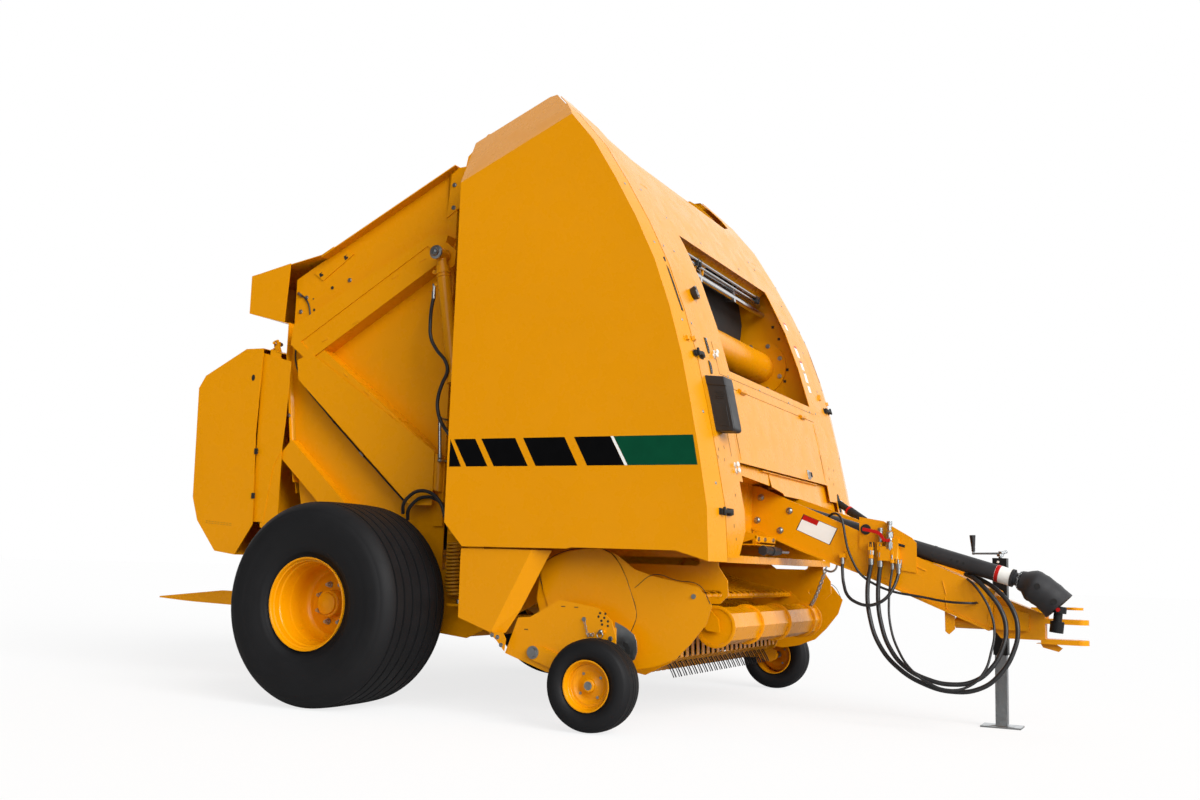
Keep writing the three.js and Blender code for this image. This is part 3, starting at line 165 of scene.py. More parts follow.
def tyre_rubber(name):
    """Carbon-filled tyre rubber from a steel mould: deep grey, semi-matt, with a dry bloom in patches."""
    made, tree = blank_material(name)
    place = add(tree, "ShaderNodeTexCoord").outputs["Object"]
    bloom = add(tree, "ShaderNodeTexNoise", {"Scale": 6.0, "Detail": 7.0, "Roughness": 0.65}, {"Vector": place})
    tone = add(
        tree, "ShaderNodeMix", {"data_type": "RGBA", 6: shade("131314"), 7: shade("1E1E20")}, {0: bloom.outputs["Fac"]},
    )
    dull = add(
        tree, "ShaderNodeMapRange", {"From Min": 0.3, "From Max": 0.7, "To Min": 0.5, "To Max": 0.7},
        {"Value": bloom.outputs["Fac"]},
    )
    # The mould leaves a skin with a 3 mm texture.
    skin = add(tree, "ShaderNodeTexNoise", {"Scale": 240.0, "Detail": 4.0, "Roughness": 0.6}, {"Vector": place})
    bump = add(tree, "ShaderNodeBump", {"Strength": 0.16, "Distance": 0.0006}, {"Height": skin.outputs["Fac"]})
    return finish_surface(
        made, tree, {"IOR": 1.3},
        {"Base Color": tone.outputs[2], "Roughness": dull.outputs["Result"], "Normal": bump.outputs["Normal"]},
    )


def moulded_plastic(name, light, deep, roughness=0.45, grain=0.1):
    """Injection-moulded or rotary-moulded plastic with a fine eroded grain and a slight uneven sheen."""
    made, tree = blank_material(name)
    place = add(tree, "ShaderNodeTexCoord").outputs["Object"]
    cloud = add(tree, "ShaderNodeTexNoise", {"Scale": 14.0, "Detail": 4.0}, {"Vector": place})
    tone = add(tree, "ShaderNodeMix", {"data_type": "RGBA", 6: shade(light), 7: shade(deep)}, {0: cloud.outputs["Fac"]})
    dull = add(
        tree, "ShaderNodeMapRange", {"From Min": 0.3, "From Max": 0.7, "To Min": roughness, "To Max": roughness + 0.14},
        {"Value": cloud.outputs["Fac"]},
    )
    # Grain of the mould is under 1 mm; drawn at 3 mm so that it shows.
    skin = add(tree, "ShaderNodeTexVoronoi", {"Scale": 330.0}, {"Vector": place})
    bump = add(tree, "ShaderNodeBump", {"Strength": grain, "Distance": 0.0005}, {"Height": skin.outputs["Distance"]})
    return finish_surface(
        made, tree, {"IOR": 1.49},
        {"Base Color": tone.outputs[2], "Roughness": dull.outputs["Result"], "Normal": bump.outputs["Normal"]},
    )


def hose_rubber(name, light="1B1B1C", deep="2B2B2D"):
    """Synthetic rubber hose cover, cured under a wrapped cloth that leaves fine rings along it."""
    made, tree = blank_material(name)
    place = add(tree, "ShaderNodeTexCoord").outputs["Object"]
    cloud = add(tree, "ShaderNodeTexNoise", {"Scale": 30.0, "Detail": 5.0}, {"Vector": place})
    tone = add(tree, "ShaderNodeMix", {"data_type": "RGBA", 6: shade(light), 7: shade(deep)}, {0: cloud.outputs["Fac"]})
    # Cloth marks are 1.5 mm apart; drawn at 5 mm so that they show.
    wrap = add(
        tree, "ShaderNodeTexWave", {"wave_type": "BANDS", "bands_direction": "DIAGONAL", "Scale": 60.0, "Distortion": 1.2},
        {"Vector": place},
    )
    bump = add(tree, "ShaderNodeBump", {"Strength": 0.12, "Distance": 0.0006}, {"Height": wrap.outputs["Fac"]})
    return finish_surface(
        made, tree, {"Roughness": 0.42, "IOR": 1.52}, {"Base Color": tone.outputs[2], "Normal": bump.outputs["Normal"]},
    )


def belt_rubber(name):
    """Baler belting: rubber on a woven carcass, with a diamond top that grips the crop."""
    made, tree = blank_material(name)
    place = add(tree, "ShaderNodeTexCoord").outputs["Object"]
    cloud = add(tree, "ShaderNodeTexNoise", {"Scale": 9.0, "Detail": 5.0}, {"Vector": place})
    tone = add(
        tree, "ShaderNodeMix", {"data_type": "RGBA", 6: shade("161616"), 7: shade("272727")}, {0: cloud.outputs["Fac"]},
    )
    # The belt's diamonds are 12 mm apart.
    turn = add(tree, "ShaderNodeMapping", {"Rotation": (0.0, 0.0, math.radians(45))}, {"Vector": place})
    grip = add(tree, "ShaderNodeTexChecker", {"Scale": 83.0}, {"Vector": turn.outputs["Vector"]})
    bump = add(tree, "ShaderNodeBump", {"Strength": 0.35, "Distance": 0.001}, {"Height": grip.outputs["Fac"]})
    return finish_surface(
        made, tree, {"Roughness": 0.68, "IOR": 1.52}, {"Base Color": tone.outputs[2], "Normal": bump.outputs["Normal"]},
    )


def vinyl_film(name, light, deep, roughness=0.3):
    """Printed vinyl film under a clear layer: flat colour, a little rippled where it was laid."""
    made, tree = blank_material(name)
    place = add(tree, "ShaderNodeTexCoord").outputs["Object"]
    ripple = add(tree, "ShaderNodeTexNoise", {"Scale": 18.0, "Detail": 2.0}, {"Vector": place})
    tone = add(tree, "ShaderNodeMix", {"data_type": "RGBA", 6: shade(light), 7: shade(deep)}, {0: ripple.outputs["Fac"]})
    bump = add(tree, "ShaderNodeBump", {"Strength": 0.06, "Distance": 0.001}, {"Height": ripple.outputs["Fac"]})
    return finish_surface(
        made, tree, {"Roughness": roughness, "IOR": 1.18},
        {"Base Color": tone.outputs[2], "Normal": bump.outputs["Normal"]},
    )


def turned_brass(name):
    """Free-cutting brass straight from the lathe: warm metal with fine turning lines."""
    made, tree = blank_material(name)
    place = add(tree, "ShaderNodeTexCoord").outputs["Object"]
    lines = add(tree, "ShaderNodeTexWave", {"bands_direction": "Z", "Scale": 300.0, "Distortion": 0.4}, {"Vector": place})
    tone = add(
        tree, "ShaderNodeMix", {"data_type": "RGBA", 6: shade("C79A4B"), 7: shade("A67C33")}, {0: lines.outputs["Fac"]},
    )
    return finish_surface(made, tree, {"Metallic": 1.0, "Roughness": 0.32}, {"Base Color": tone.outputs[2]})


MATERIALS = {}


def make_materials(colours):
    """Every finish on the machine, by the name that the pieces ask for."""
    yellow = "%02X%02X%02X" % tuple(round(255 * c) for c in colours.paint)
    MATERIALS.update(
        yellow=powder_coat("Yellow polyester powder coat", yellow, colours_deep(yellow)),
        black=powder_coat("Black polyester powder coat", "141415", "1C1C1D", (0.36, 0.5)),
        zinc=zinc_plate("Zinc-plated steel"),
        steel=zinc_plate("Bright ground steel", "CFCFCF", "AEB0B2", (0.16, 0.28)),
        tyre=tyre_rubber("Moulded tyre rubber"),
        plastic=moulded_plastic("Black ABS plastic", "1C1C1D", "29292B"),
        guard=moulded_plastic("Black polyethylene guard", "202022", "303033", 0.5, 0.16),
        belt=belt_rubber("Woven baler belting"),
        hose=hose_rubber("Hydraulic hose rubber"),
        stripe=vinyl_film("Black vinyl film", "070708", "0C0C0D"),
        green=vinyl_film("Dark green vinyl film", "07402A", "0A4A31"),
        white=vinyl_film("White vinyl film", "F2F2EE", "E6E6E0"),
        red=vinyl_film("Red vinyl film", "C0201C", "AE1B18"),
        knob=moulded_plastic("White acetal plastic", "E9E9E4", "D8D8D0", 0.35, 0.04),
        # Holes, slots and seam gaps are drawn in this black too, as painted shade.
        seal=moulded_plastic("Black EPDM rubber and painted hole shade", "141414", "1E1E1E", 0.62, 0.2),
        brass=turned_brass("Turned brass"),
        # The net cover's vents are drawn in this darker amber, as painted shade in the louvres.
        amber=powder_coat("Amber spring enamel and painted vent shade", "C98A1A", "B57A12"),
    )


def colours_deep(hex_value):
    """A slightly deeper tone of a paint."""
    return "".join("%02X" % round(int(hex_value[i:i + 2], 16) * 0.965) for i in (0, 2, 4))


SLOT_FINISH = {
    "painted_yellow": "yellow", "painted_black": "black", "zinc": "zinc", "steel": "steel", "tyre": "tyre",
    "belting": "belt", "plastic": "plastic", "hose": "hose",
}


# ---------------------------------------------------------------- shapes
def slab(bm, corners, depth):
    """A flat outline of points pushed out by a vector."""
    face = bm.faces.new([bm.verts.new(corner) for corner in corners])
    grown = bmesh.ops.extrude_face_region(bm, geom=[face])
    moved = [item for item in grown["geom"] if isinstance(item, bmesh.types.BMVert)]
    bmesh.ops.translate(bm, vec=depth, verts=moved)
    return [*face.verts, *moved]


def plate(bm, outline, y0, y1):
    """An outline of (x, z) points from the axle, from y0 to y1."""
    return slab(bm, [at(x, y0, z) for x, z in outline], Vector((0, y1 - y0, 0)))


def ribbon(line, thickness):
    """The outline of a bent sheet that follows (x, z) points, thickened to its left, or to its right if negative."""
    offset = []
    for i, (x, z) in enumerate(line):
        ahead = line[min(i + 1, len(line) - 1)]
        behind = line[max(i - 1, 0)]
        run = Vector((ahead[0] - behind[0], ahead[1] - behind[1])).normalized()
        offset.append((x - run.y * thickness, z + run.x * thickness))
    return [*line, *reversed(offset)]


def block(bm, low, high):
    """A box between two corners."""
    low, high = Vector(low), Vector(high)
    size = Matrix.Diagonal((*(high - low), 1))
    return bmesh.ops.create_cube(bm, size=1, matrix=Matrix.Translation((low + high) / 2) @ size)["verts"]


def aim(start, direction):
    """A frame at start whose Z runs along a direction."""
    return Matrix.Translation(start) @ Vector(direction).to_track_quat("Z", "Y").to_matrix().to_4x4()


def rod(bm, start, end, radius, sides=16, end_radius=None):
    """A round bar, tapered if it has an end radius."""
    start, end = Vector(start), Vector(end)
    made = bmesh.ops.create_cone(
        bm, cap_ends=True, segments=sides, radius1=radius, radius2=radius if end_radius is None else end_radius,
        depth=(end - start).length, matrix=aim((start + end) / 2, end - start),
    )
    return made["verts"]


def revolve(bm, profile, centre, axis, steps=48):
    """A profile of (distance along the axis, radius) points turned right round the axis."""
    turn = aim(centre, axis)
    verts = [bm.verts.new(turn @ Vector((radius, 0, along))) for along, radius in profile]
    edges = [bm.edges.new(pair) for pair in zip(verts, verts[1:])]
    bmesh.ops.spin(
        bm, geom=[*verts, *edges], cent=centre, axis=Vector(axis).normalized(), dvec=(0, 0, 0), angle=math.tau,
        steps=steps, use_merge=True, use_duplicate=False,
    )


def bolt(bm, place, direction, size=0.016, washer=True):
    """A hexagon head on a washer; size is the width of the thread."""
    direction = Vector(direction).normalized()
    base = Vector(place)
    if washer:
        rod(bm, base - direction * 0.001, base + direction * size * 0.16, size * 1.15, 20)
    head = rod(bm, base + direction * size * 0.1, base + direction * size * 0.72, size * 0.92, 6, size * 0.86)
    return head


def dome(bm, place, direction, radius, height=None):
    """A low domed cap, such as a rivet or carriage bolt's head."""
    height = radius * 0.55 if height is None else height
    steps = 5
    profile = [(height * math.sin(a), radius * math.cos(a)) for a in (math.pi / 2 * i / steps for i in range(steps + 1))]
    revolve(bm, [(-0.001, 0), (-0.001, radius), *profile[:-1], (height, 0)], Vector(place), direction, 16)


def piece(name, bm, body, finish, smooth=32, bevel=0.0, segments=2):
    """Ends a bmesh as a piece that rides on a body and its finish."""
    bmesh.ops.remove_doubles(bm, verts=bm.verts, dist=1e-6)
    bmesh.ops.recalc_face_normals(bm, faces=bm.faces)
    mesh = bpy.data.meshes.new(name)
    bm.to_mesh(mesh)
    bm.free()
    mesh.shade_smooth()
    mesh.set_sharp_from_angle(angle=math.radians(smooth))
    made = bpy.data.objects.new(name, mesh)
    bpy.context.scene.collection.objects.link(made)
    mesh.materials.append(MATERIALS[finish])
    if bevel:
        round_edges(made, bevel, segments, smooth)
    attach(made, body)
    return made


def round_edges(made, width, segments=2, angle=32):
    """Small rounded edges, with flat faces kept flat."""
    edge = made.modifiers.new("Rounded edges", "BEVEL")
    edge.width = width
    edge.segments = segments
    edge.limit_method = "ANGLE"
    edge.angle_limit = math.radians(angle)
    edge.use_clamp_overlap = True
    edge.harden_normals = True
    return edge


def wires(name, lines, radius, body, finish, sides=3, cyclic=False, smooth=True):
    """Bent bars, cables or springs that follow lists of points; several lines make one piece."""
    curve = bpy.data.curves.new(name, "CURVE")
    curve.dimensions = "3D"
    curve.bevel_depth = radius
    curve.bevel_resolution = sides
    curve.use_fill_caps = True
    curve.resolution_u = 5
    for line in lines:
        spline = curve.splines.new("BEZIER")
        spline.bezier_points.add(len(line) - 1)
        for knot, place in zip(spline.bezier_points, line):
            knot.co = place
            knot.handle_left_type = knot.handle_right_type = "AUTO" if smooth else "VECTOR"
        spline.use_cyclic_u = cyclic
    made = bpy.data.objects.new(name, curve)
    bpy.context.scene.collection.objects.link(made)
    curve.materials.append(MATERIALS[finish])
    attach(made, body)
    return made


def body_of_node(node):
    """The body that carries a frame node."""
    for body, nodes in frame["record"]["behaviour"]["bodies"].items():
        if node in nodes:
            return body
    raise ValueError(f"no body carries {node}")


def finished_copy(node, finish=None, bevel=0.0, smooth=28, segments=2):
    """A merged copy of a frame node's sheet or casting, with flat faces whole, smooth curves and its finish."""
    source = frame["nodes"][node]
    bm = bmesh.new()
    bm.from_mesh(source.data)
    bmesh.ops.remove_doubles(bm, verts=bm.verts, dist=1e-5)
    bmesh.ops.dissolve_limit(
        bm, angle_limit=math.radians(0.6), use_dissolve_boundaries=False, verts=bm.verts, edges=bm.edges, delimit=set(),
    )
    made = piece(f"{node}_finished", bm, body_of_node(node), finish or SLOT_FINISH[SLOTS[node]], smooth)
    if bevel:
        round_edges(made, bevel, segments)
    else:
        even = made.modifiers.new("Even shading", "WEIGHTED_NORMAL")
        even.keep_sharp = True
    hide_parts(node)
    return made


# ---------------------------------------------------------------- what a user would change
class BalerColours(bpy.types.PropertyGroup):
    """Paint colours."""

    paint: FloatVectorProperty(
        name="Body paint", description="Colour of the powder coat, as shown on a screen", subtype="COLOR_GAMMA",
        size=3, min=0, max=1, default=(0xE5 / 255, 0x95 / 255, 0x00),
    )


class BalerSizes(bpy.types.PropertyGroup):
    """Sizes of the parts that are fitted to the frame."""

    tine_wire: FloatProperty(
        name="Tine wire", description="Diameter of the pickup's tine wire", default=0.0064, unit="LENGTH",
    )
    tine_pairs: IntProperty(name="Tine pairs", description="Double tines on each bar of the reel", default=21, min=4, max=40)
    spring_wire: FloatProperty(
        name="Lift spring wire", description="Diameter of the lift springs' wire", default=0.013, unit="LENGTH",
    )
    spring_turns: IntProperty(name="Lift spring turns", description="Coils in each lift spring", default=15, min=4, max=40)
    guard_rods: IntProperty(
        name="Windguard rods", description="Thin rods that slant back from the windguard's tube", default=17, min=2, max=60,
    )
    screw: FloatProperty(name="Panel screw", description="Thread size of the panel screws", default=0.008, unit="LENGTH")


class StageLight(bpy.types.PropertyGroup):
    """Light on the stage."""

    key: FloatProperty(name="Key light", description="Strength of the large soft lamp in front and above", default=3.1, min=0)
    side: FloatProperty(
        name="Side light", description="Strength of the weaker soft lamp beside the machine", default=0.55, min=0,
    )
    key_angle: FloatProperty(
        name="Key softness", description="Width of the soft lamps as seen from the machine", default=math.radians(38),
        subtype="ANGLE",
    )
    surround: FloatProperty(name="Surround", description="Strength of the pale surround", default=0.44, min=0)
    wall: FloatProperty(
        name="Far wall", description="Strength of the white wall that gloss mirrors from the far side", default=1.25, min=0,
    )
    room: FloatProperty(
        name="Near room", description="Strength of the dim room that gloss mirrors from the near side", default=0.06, min=0,
    )
    bounce: FloatProperty(
        name="Floor bounce", description="Share of the light that the floor throws back at the machine", default=0.5, min=0,
        max=1, subtype="FACTOR",
    )
    floor: FloatProperty(
        name="Floor lift", description="How much of the floor shows as plain white", default=0.76, min=0, max=1,
        subtype="FACTOR",
    )


class Maker:
    """What every operator of the machine shares."""

    bl_options = {"REGISTER", "UNDO"}

    def execute(self, context):
        self.make(context.scene.baler_sizes)
        return {"FINISHED"}


# ---------------------------------------------------------------- stage
def where_seen(tree):
    """1 where a ray comes straight from the camera; used to show plain white there."""
    return add(tree, "ShaderNodeLightPath").outputs["Is Camera Ray"]


class BALER_OT_stage(Maker, bpy.types.Operator):
    """Camera, soft light, pale floor and surround"""

    bl_idname = "baler.stage"
    bl_label = "Stage"

    def execute(self, context):
        scene = context.scene
        light = scene.baler_light
        self.camera(scene)
        for name, strength, direction in (
            ("Soft key", light.key, (0.8, -0.43, 0.42)), ("Soft side", light.side, (0.35, -0.86, 0.36)),
        ):
            lamp = bpy.data.lights.new(name, "SUN")
            lamp.energy = strength
            lamp.angle = light.key_angle
            key = bpy.data.objects.new(name, lamp)
            key.rotation_euler = Vector(direction).to_track_quat("Z", "Y").to_euler()
            scene.collection.objects.link(key)
        self.surround(scene, light)
        self.floor(scene, light)
        scene.view_settings.view_transform = "Standard"
        return {"FINISHED"}

    @staticmethod
    def camera(scene):
        """A low view from the right, ahead of the machine."""
        yaw, pitch, roll = (math.radians(a) for a in (26.224, 7.674, 1.809))
        ahead = Vector((-math.sin(yaw) * math.cos(pitch), math.cos(yaw) * math.cos(pitch), math.sin(pitch)))
        level = Vector((math.cos(yaw), math.sin(yaw), 0))
        above = level.cross(ahead)
        right = math.cos(roll) * level + math.sin(roll) * above
        up = math.cos(roll) * above - math.sin(roll) * level
        lens = bpy.data.cameras.new("Camera")
        lens.lens = 36.754
        lens.sensor_width = 36.0
        lens.clip_end = 200.0
        camera = bpy.data.objects.new("Camera", lens)
        turn = Matrix((right, up, -ahead)).transposed().to_4x4()
        camera.matrix_world = Matrix.Translation(at(3.865, -6.227, 0.725)) @ turn
        scene.collection.objects.link(camera)
        scene.camera = camera

    @staticmethod
    def surround(scene, light):
        """A surround that shows as white and is brighter ahead; gloss sees a white wall on the far side and a dim room on the near side."""
        world = bpy.data.worlds.new("Pale surround")
        world.use_nodes = True
        tree = world.node_tree
        tree.nodes.clear()
        seen = where_seen(tree)
        direction = add(tree, "ShaderNodeTexCoord").outputs["Generated"]
        split = add(tree, "ShaderNodeSeparateXYZ", None, {0: direction})
        wall = add(
            tree, "ShaderNodeMapRange", {"From Min": -0.1, "From Max": 0.45, "To Min": light.room, "To Max": light.wall},
            {"Value": split.outputs["Y"]},
        )
        ahead = add(
            tree, "ShaderNodeMapRange",
            {"From Min": -0.7, "From Max": 0.7, "To Min": light.surround * 0.35, "To Max": light.surround * 1.5},
            {"Value": split.outputs["X"]},
        )
        glossy = add(tree, "ShaderNodeLightPath").outputs["Is Glossy Ray"]
        strength = add(tree, "ShaderNodeMix", {"data_type": "FLOAT"}, {0: glossy, 2: ahead.outputs[0], 3: wall.outputs[0]})
        lit = add(tree, "ShaderNodeBackground", {"Color": shade("FFFFFF")}, {"Strength": strength.outputs[0]})
        plain = add(tree, "ShaderNodeBackground", {"Color": shade("FFFFFF"), "Strength": 1.0})
        both = add(tree, "ShaderNodeMixShader", None, {0: seen, 1: lit.outputs[0], 2: plain.outputs[0]})
        add(tree, "ShaderNodeOutputWorld", None, {"Surface": both.outputs[0]})
        scene.world = world

    @staticmethod
    def floor(scene, light):
        """A plain pale floor that keeps a soft shadow."""
        material, tree = blank_material("Painted studio floor")
        seen = where_seen(tree)
        share = add(tree, "ShaderNodeMath", {"operation": "MULTIPLY", 1: light.floor}, {0: seen})
        thrown = (light.bounce, light.bounce, light.bounce, 1.0)
        tone = add(tree, "ShaderNodeMix", {"data_type": "RGBA", 6: thrown, 7: shade("FFFFFF")}, {0: seen})
        paint = add(tree, "ShaderNodeBsdfDiffuse", None, {"Color": tone.outputs[2]})
        white = add(tree, "ShaderNodeEmission", {"Color": shade("FFFFFF"), "Strength": 1.025})
        both = add(tree, "ShaderNodeMixShader", None, {0: share.outputs[0], 1: paint.outputs[0], 2: white.outputs[0]})
        add(tree, "ShaderNodeOutputMaterial", None, {"Surface": both.outputs[0]})
        bm = bmesh.new()
        bmesh.ops.create_grid(bm, x_segments=1, y_segments=1, size=60)
        mesh = bpy.data.meshes.new("Floor")
        bm.to_mesh(mesh)
        bm.free()
        floor = bpy.data.objects.new("Floor", mesh)
        mesh.materials.append(material)
        scene.collection.objects.link(floor)


# ---------------------------------------------------------------- free hoses and cables
FREE_LINES = {
    "hose_feed": (0.022, [
        (2.395, -0.16, 0.7993), (2.395, -0.16, 0.78), (2.38, -0.171, 0.65), (2.395, -0.187, 0.52), (2.45, -0.215, 0.385),
        (2.545, -0.24, 0.285), (2.665, -0.25, 0.22), (2.795, -0.245, 0.192), (2.925, -0.235, 0.215), (3.01, -0.22, 0.285),
        (3.068, -0.2, 0.39), (3.085, -0.185, 0.49), (3.056, -0.168, 0.59), (2.995, -0.148, 0.662), (2.92, -0.1, 0.708),
        (2.85, -0.055, 0.738),
    ]),
    "hose_return": (0.022, [
        (2.44, -0.16, 0.7893), (2.44, -0.16, 0.77), (2.432, -0.172, 0.62), (2.455, -0.205, 0.49), (2.51, -0.245, 0.37),
        (2.59, -0.275, 0.29), (2.69, -0.29, 0.245), (2.8, -0.288, 0.228), (2.905, -0.275, 0.25), (2.975, -0.255, 0.31),
        (3.02, -0.23, 0.395), (3.036, -0.205, 0.49), (3.01, -0.19, 0.58), (2.955, -0.18, 0.655), (2.89, -0.145, 0.714),
        (2.835, -0.085, 0.737),
    ]),
    "hose_pilot": (0.012, [
        (2.5, -0.16, 0.7793), (2.5, -0.16, 0.764), (2.49, -0.19, 0.61), (2.505, -0.225, 0.48), (2.55, -0.262, 0.37),
        (2.62, -0.305, 0.285), (2.7, -0.32, 0.232), (2.79, -0.318, 0.205), (2.88, -0.3, 0.225), (2.945, -0.28, 0.29),
        (2.975, -0.25, 0.385), (2.985, -0.215, 0.48), (2.965, -0.205, 0.57), (2.925, -0.195, 0.645), (2.885, -0.18, 0.692),
        (2.852, -0.142, 0.714),
    ]),
    "beam_cable": (0.012, [
        (2.128, -0.084, 0.94), (2.146, -0.088, 0.985), (2.172, -0.099, 1.014), (2.204, -0.118, 1.021), (2.232, -0.136, 1.004),
        (2.25, -0.147, 0.966), (2.26, -0.1496, 0.915), (2.274, -0.1496, 0.85), (2.3, -0.1496, 0.786), (2.33, -0.151, 0.734),
        (2.366, -0.1486, 0.7), (2.41, -0.142, 0.674), (2.47, -0.143, 0.65), (2.53, -0.1506, 0.636), (2.6, -0.153, 0.627),
        (2.67, -0.157, 0.617), (2.73, -0.174, 0.608), (2.785, -0.19, 0.603), (2.831, -0.197, 0.602), (2.858, -0.192, 0.602),
        (2.879, -0.177, 0.602), (2.89, -0.155, 0.603), (2.893, -0.131, 0.604),
    ]),
    "hose_loop": (0.016, [
        (2.249, -0.152, 0.7993), (2.249, -0.152, 0.78), (2.251, -0.156, 0.73), (2.262, -0.172, 0.67), (2.292, -0.2, 0.612),
        (2.34, -0.212, 0.582), (2.39, -0.215, 0.572), (2.437, -0.215, 0.582), (2.478, -0.21, 0.608), (2.505, -0.196, 0.647),
        (2.521, -0.177, 0.69), (2.5285, -0.163, 0.728), (2.53, -0.16, 0.7565),
    ]),
}


def spline_length(curve):
    """The length of a curve's own line, measured on its even steps."""
    spline = curve.splines[0]
    knots = spline.bezier_points
    steps = 24
    total, last = 0.0, knots[0].co
    for a, b in zip(knots, knots[1:]):
        for i in range(1, steps + 1):
            t = i / steps
            place = a.co * (1 - t) ** 3 + a.handle_right * 3 * t * (1 - t) ** 2 + b.handle_left * 3 * t * t * (1 - t) + b.co * t ** 3
            total += (place - last).length
            last = place
    return total


class BALER_OT_hoses(Maker, bpy.types.Operator):
    """The free hoses and cables that hang round the tongue"""

    bl_idname = "baler.hoses"
    bl_label = "Hoses"

    def make(self, sizes):
        for name, (diameter, route) in FREE_LINES.items():
            line = [at(*place) for place in route]
            made = wires(f"{name}_line", [line], diameter / 2, body_of_node(name), "hose", sides=4)
            made.data.resolution_u = 8
            bpy.context.view_layer.update()
            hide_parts(name)
            spline_length(made.data)


# ---------------------------------------------------------------- sheets and castings from the frame
KEPT = (
    "main_frame", "side_wall_left", "side_wall_right", "belt_tension_tube", "window_rollers", "front_belts", "front_cover",
    "driveline_shroud", "tongue", "hitch", "jack_tube",
    "valve_plate", "access_door", "jack_leg", "driveline_yoke", "pickup_frame", "stripper_bands", "gauge_arm_left",
    "gauge_arm_right", "windguard_frame", "tailgate_side_left", "tailgate_side_right", "tailgate_cross",
    "tailgate_belts", "tailgate_cover", "net_housing", "net_cover", "cylinder_barrel_left", "cylinder_barrel_right",
    "cylinder_rod_left", "cylinder_rod_right", "side_shield_left", "side_shield_right", "bale_ramp",
    "crop_divider_left", "crop_divider_right",
)


class BALER_OT_sheets(Maker, bpy.types.Operator):
    """Panels, plates and castings that keep the frame's shape"""

    bl_idname = "baler.sheets"
    bl_label = "Panels and castings"

    def make(self, sizes):
        for name in KEPT:
            finished_copy(name)


# ---------------------------------------------------------------- main wheels
def tyre_profile():
    """Half of the tyre's section from the bead to the middle, as (distance from the middle plane, radius)."""
    side = [
        (0.2215, 0.2115), (0.224, 0.23), (0.233, 0.244), (0.242, 0.25), (0.244, 0.256), (0.25, 0.264),
        (0.2555, 0.274), (0.256, 0.279), (0.26, 0.29), (0.266, 0.32), (0.2695, 0.355), (0.269, 0.36),
        (0.27, 0.364), (0.269, 0.39), (0.265, 0.418), (0.259, 0.44), (0.256, 0.443), (0.255, 0.448),
        (0.247, 0.46), (0.236, 0.472), (0.223, 0.482), (0.208, 0.4895), (0.2, 0.4915),
    ]
    # Circumferential ribs with narrow grooves between them.
    tread = [
        (0.196, 0.492), (0.1945, 0.48), (0.1865, 0.48), (0.185, 0.4932), (0.142, 0.4955), (0.14, 0.48),
        (0.13, 0.48), (0.128, 0.496), (0.078, 0.4968), (0.076, 0.4805), (0.066, 0.4805), (0.064, 0.497),
        (0.008, 0.497), (0.006, 0.4805), (0.0, 0.4805),
    ]
    return side + tread


RIM_PROFILE = [
    # (distance from the middle plane towards the outside, radius)
    (-0.246, 0.2215), (-0.247, 0.2185), (-0.244, 0.215), (-0.229, 0.212), (-0.2222, 0.2115), (0.2222, 0.2115),
    (0.229, 0.2122), (0.242, 0.2145), (0.2455, 0.218), (0.247, 0.2222), (0.2462, 0.2232), (0.244, 0.2226),
    (0.2425, 0.2188), (0.238, 0.216), (0.227, 0.2145), (0.223, 0.2085), (0.195, 0.2065), (0.1905, 0.202),
    (0.185, 0.2005), (0.13, 0.199), (0.124, 0.196), (0.118, 0.193), (0.06, 0.1905), (0.025, 0.188),
    (0.008, 0.178), (0.0, 0.166), (0.0, 0.156), (0.007, 0.144), (0.012, 0.13), (0.012, 0.074),
    (0.016, 0.064), (0.072, 0.06), (0.076, 0.058), (0.077, 0.052), (0.088, 0.048), (0.09, 0.044),
    (0.0905, 0.03), (0.0945, 0.024), (0.096, 0.012), (0.0962, 0.0),
]


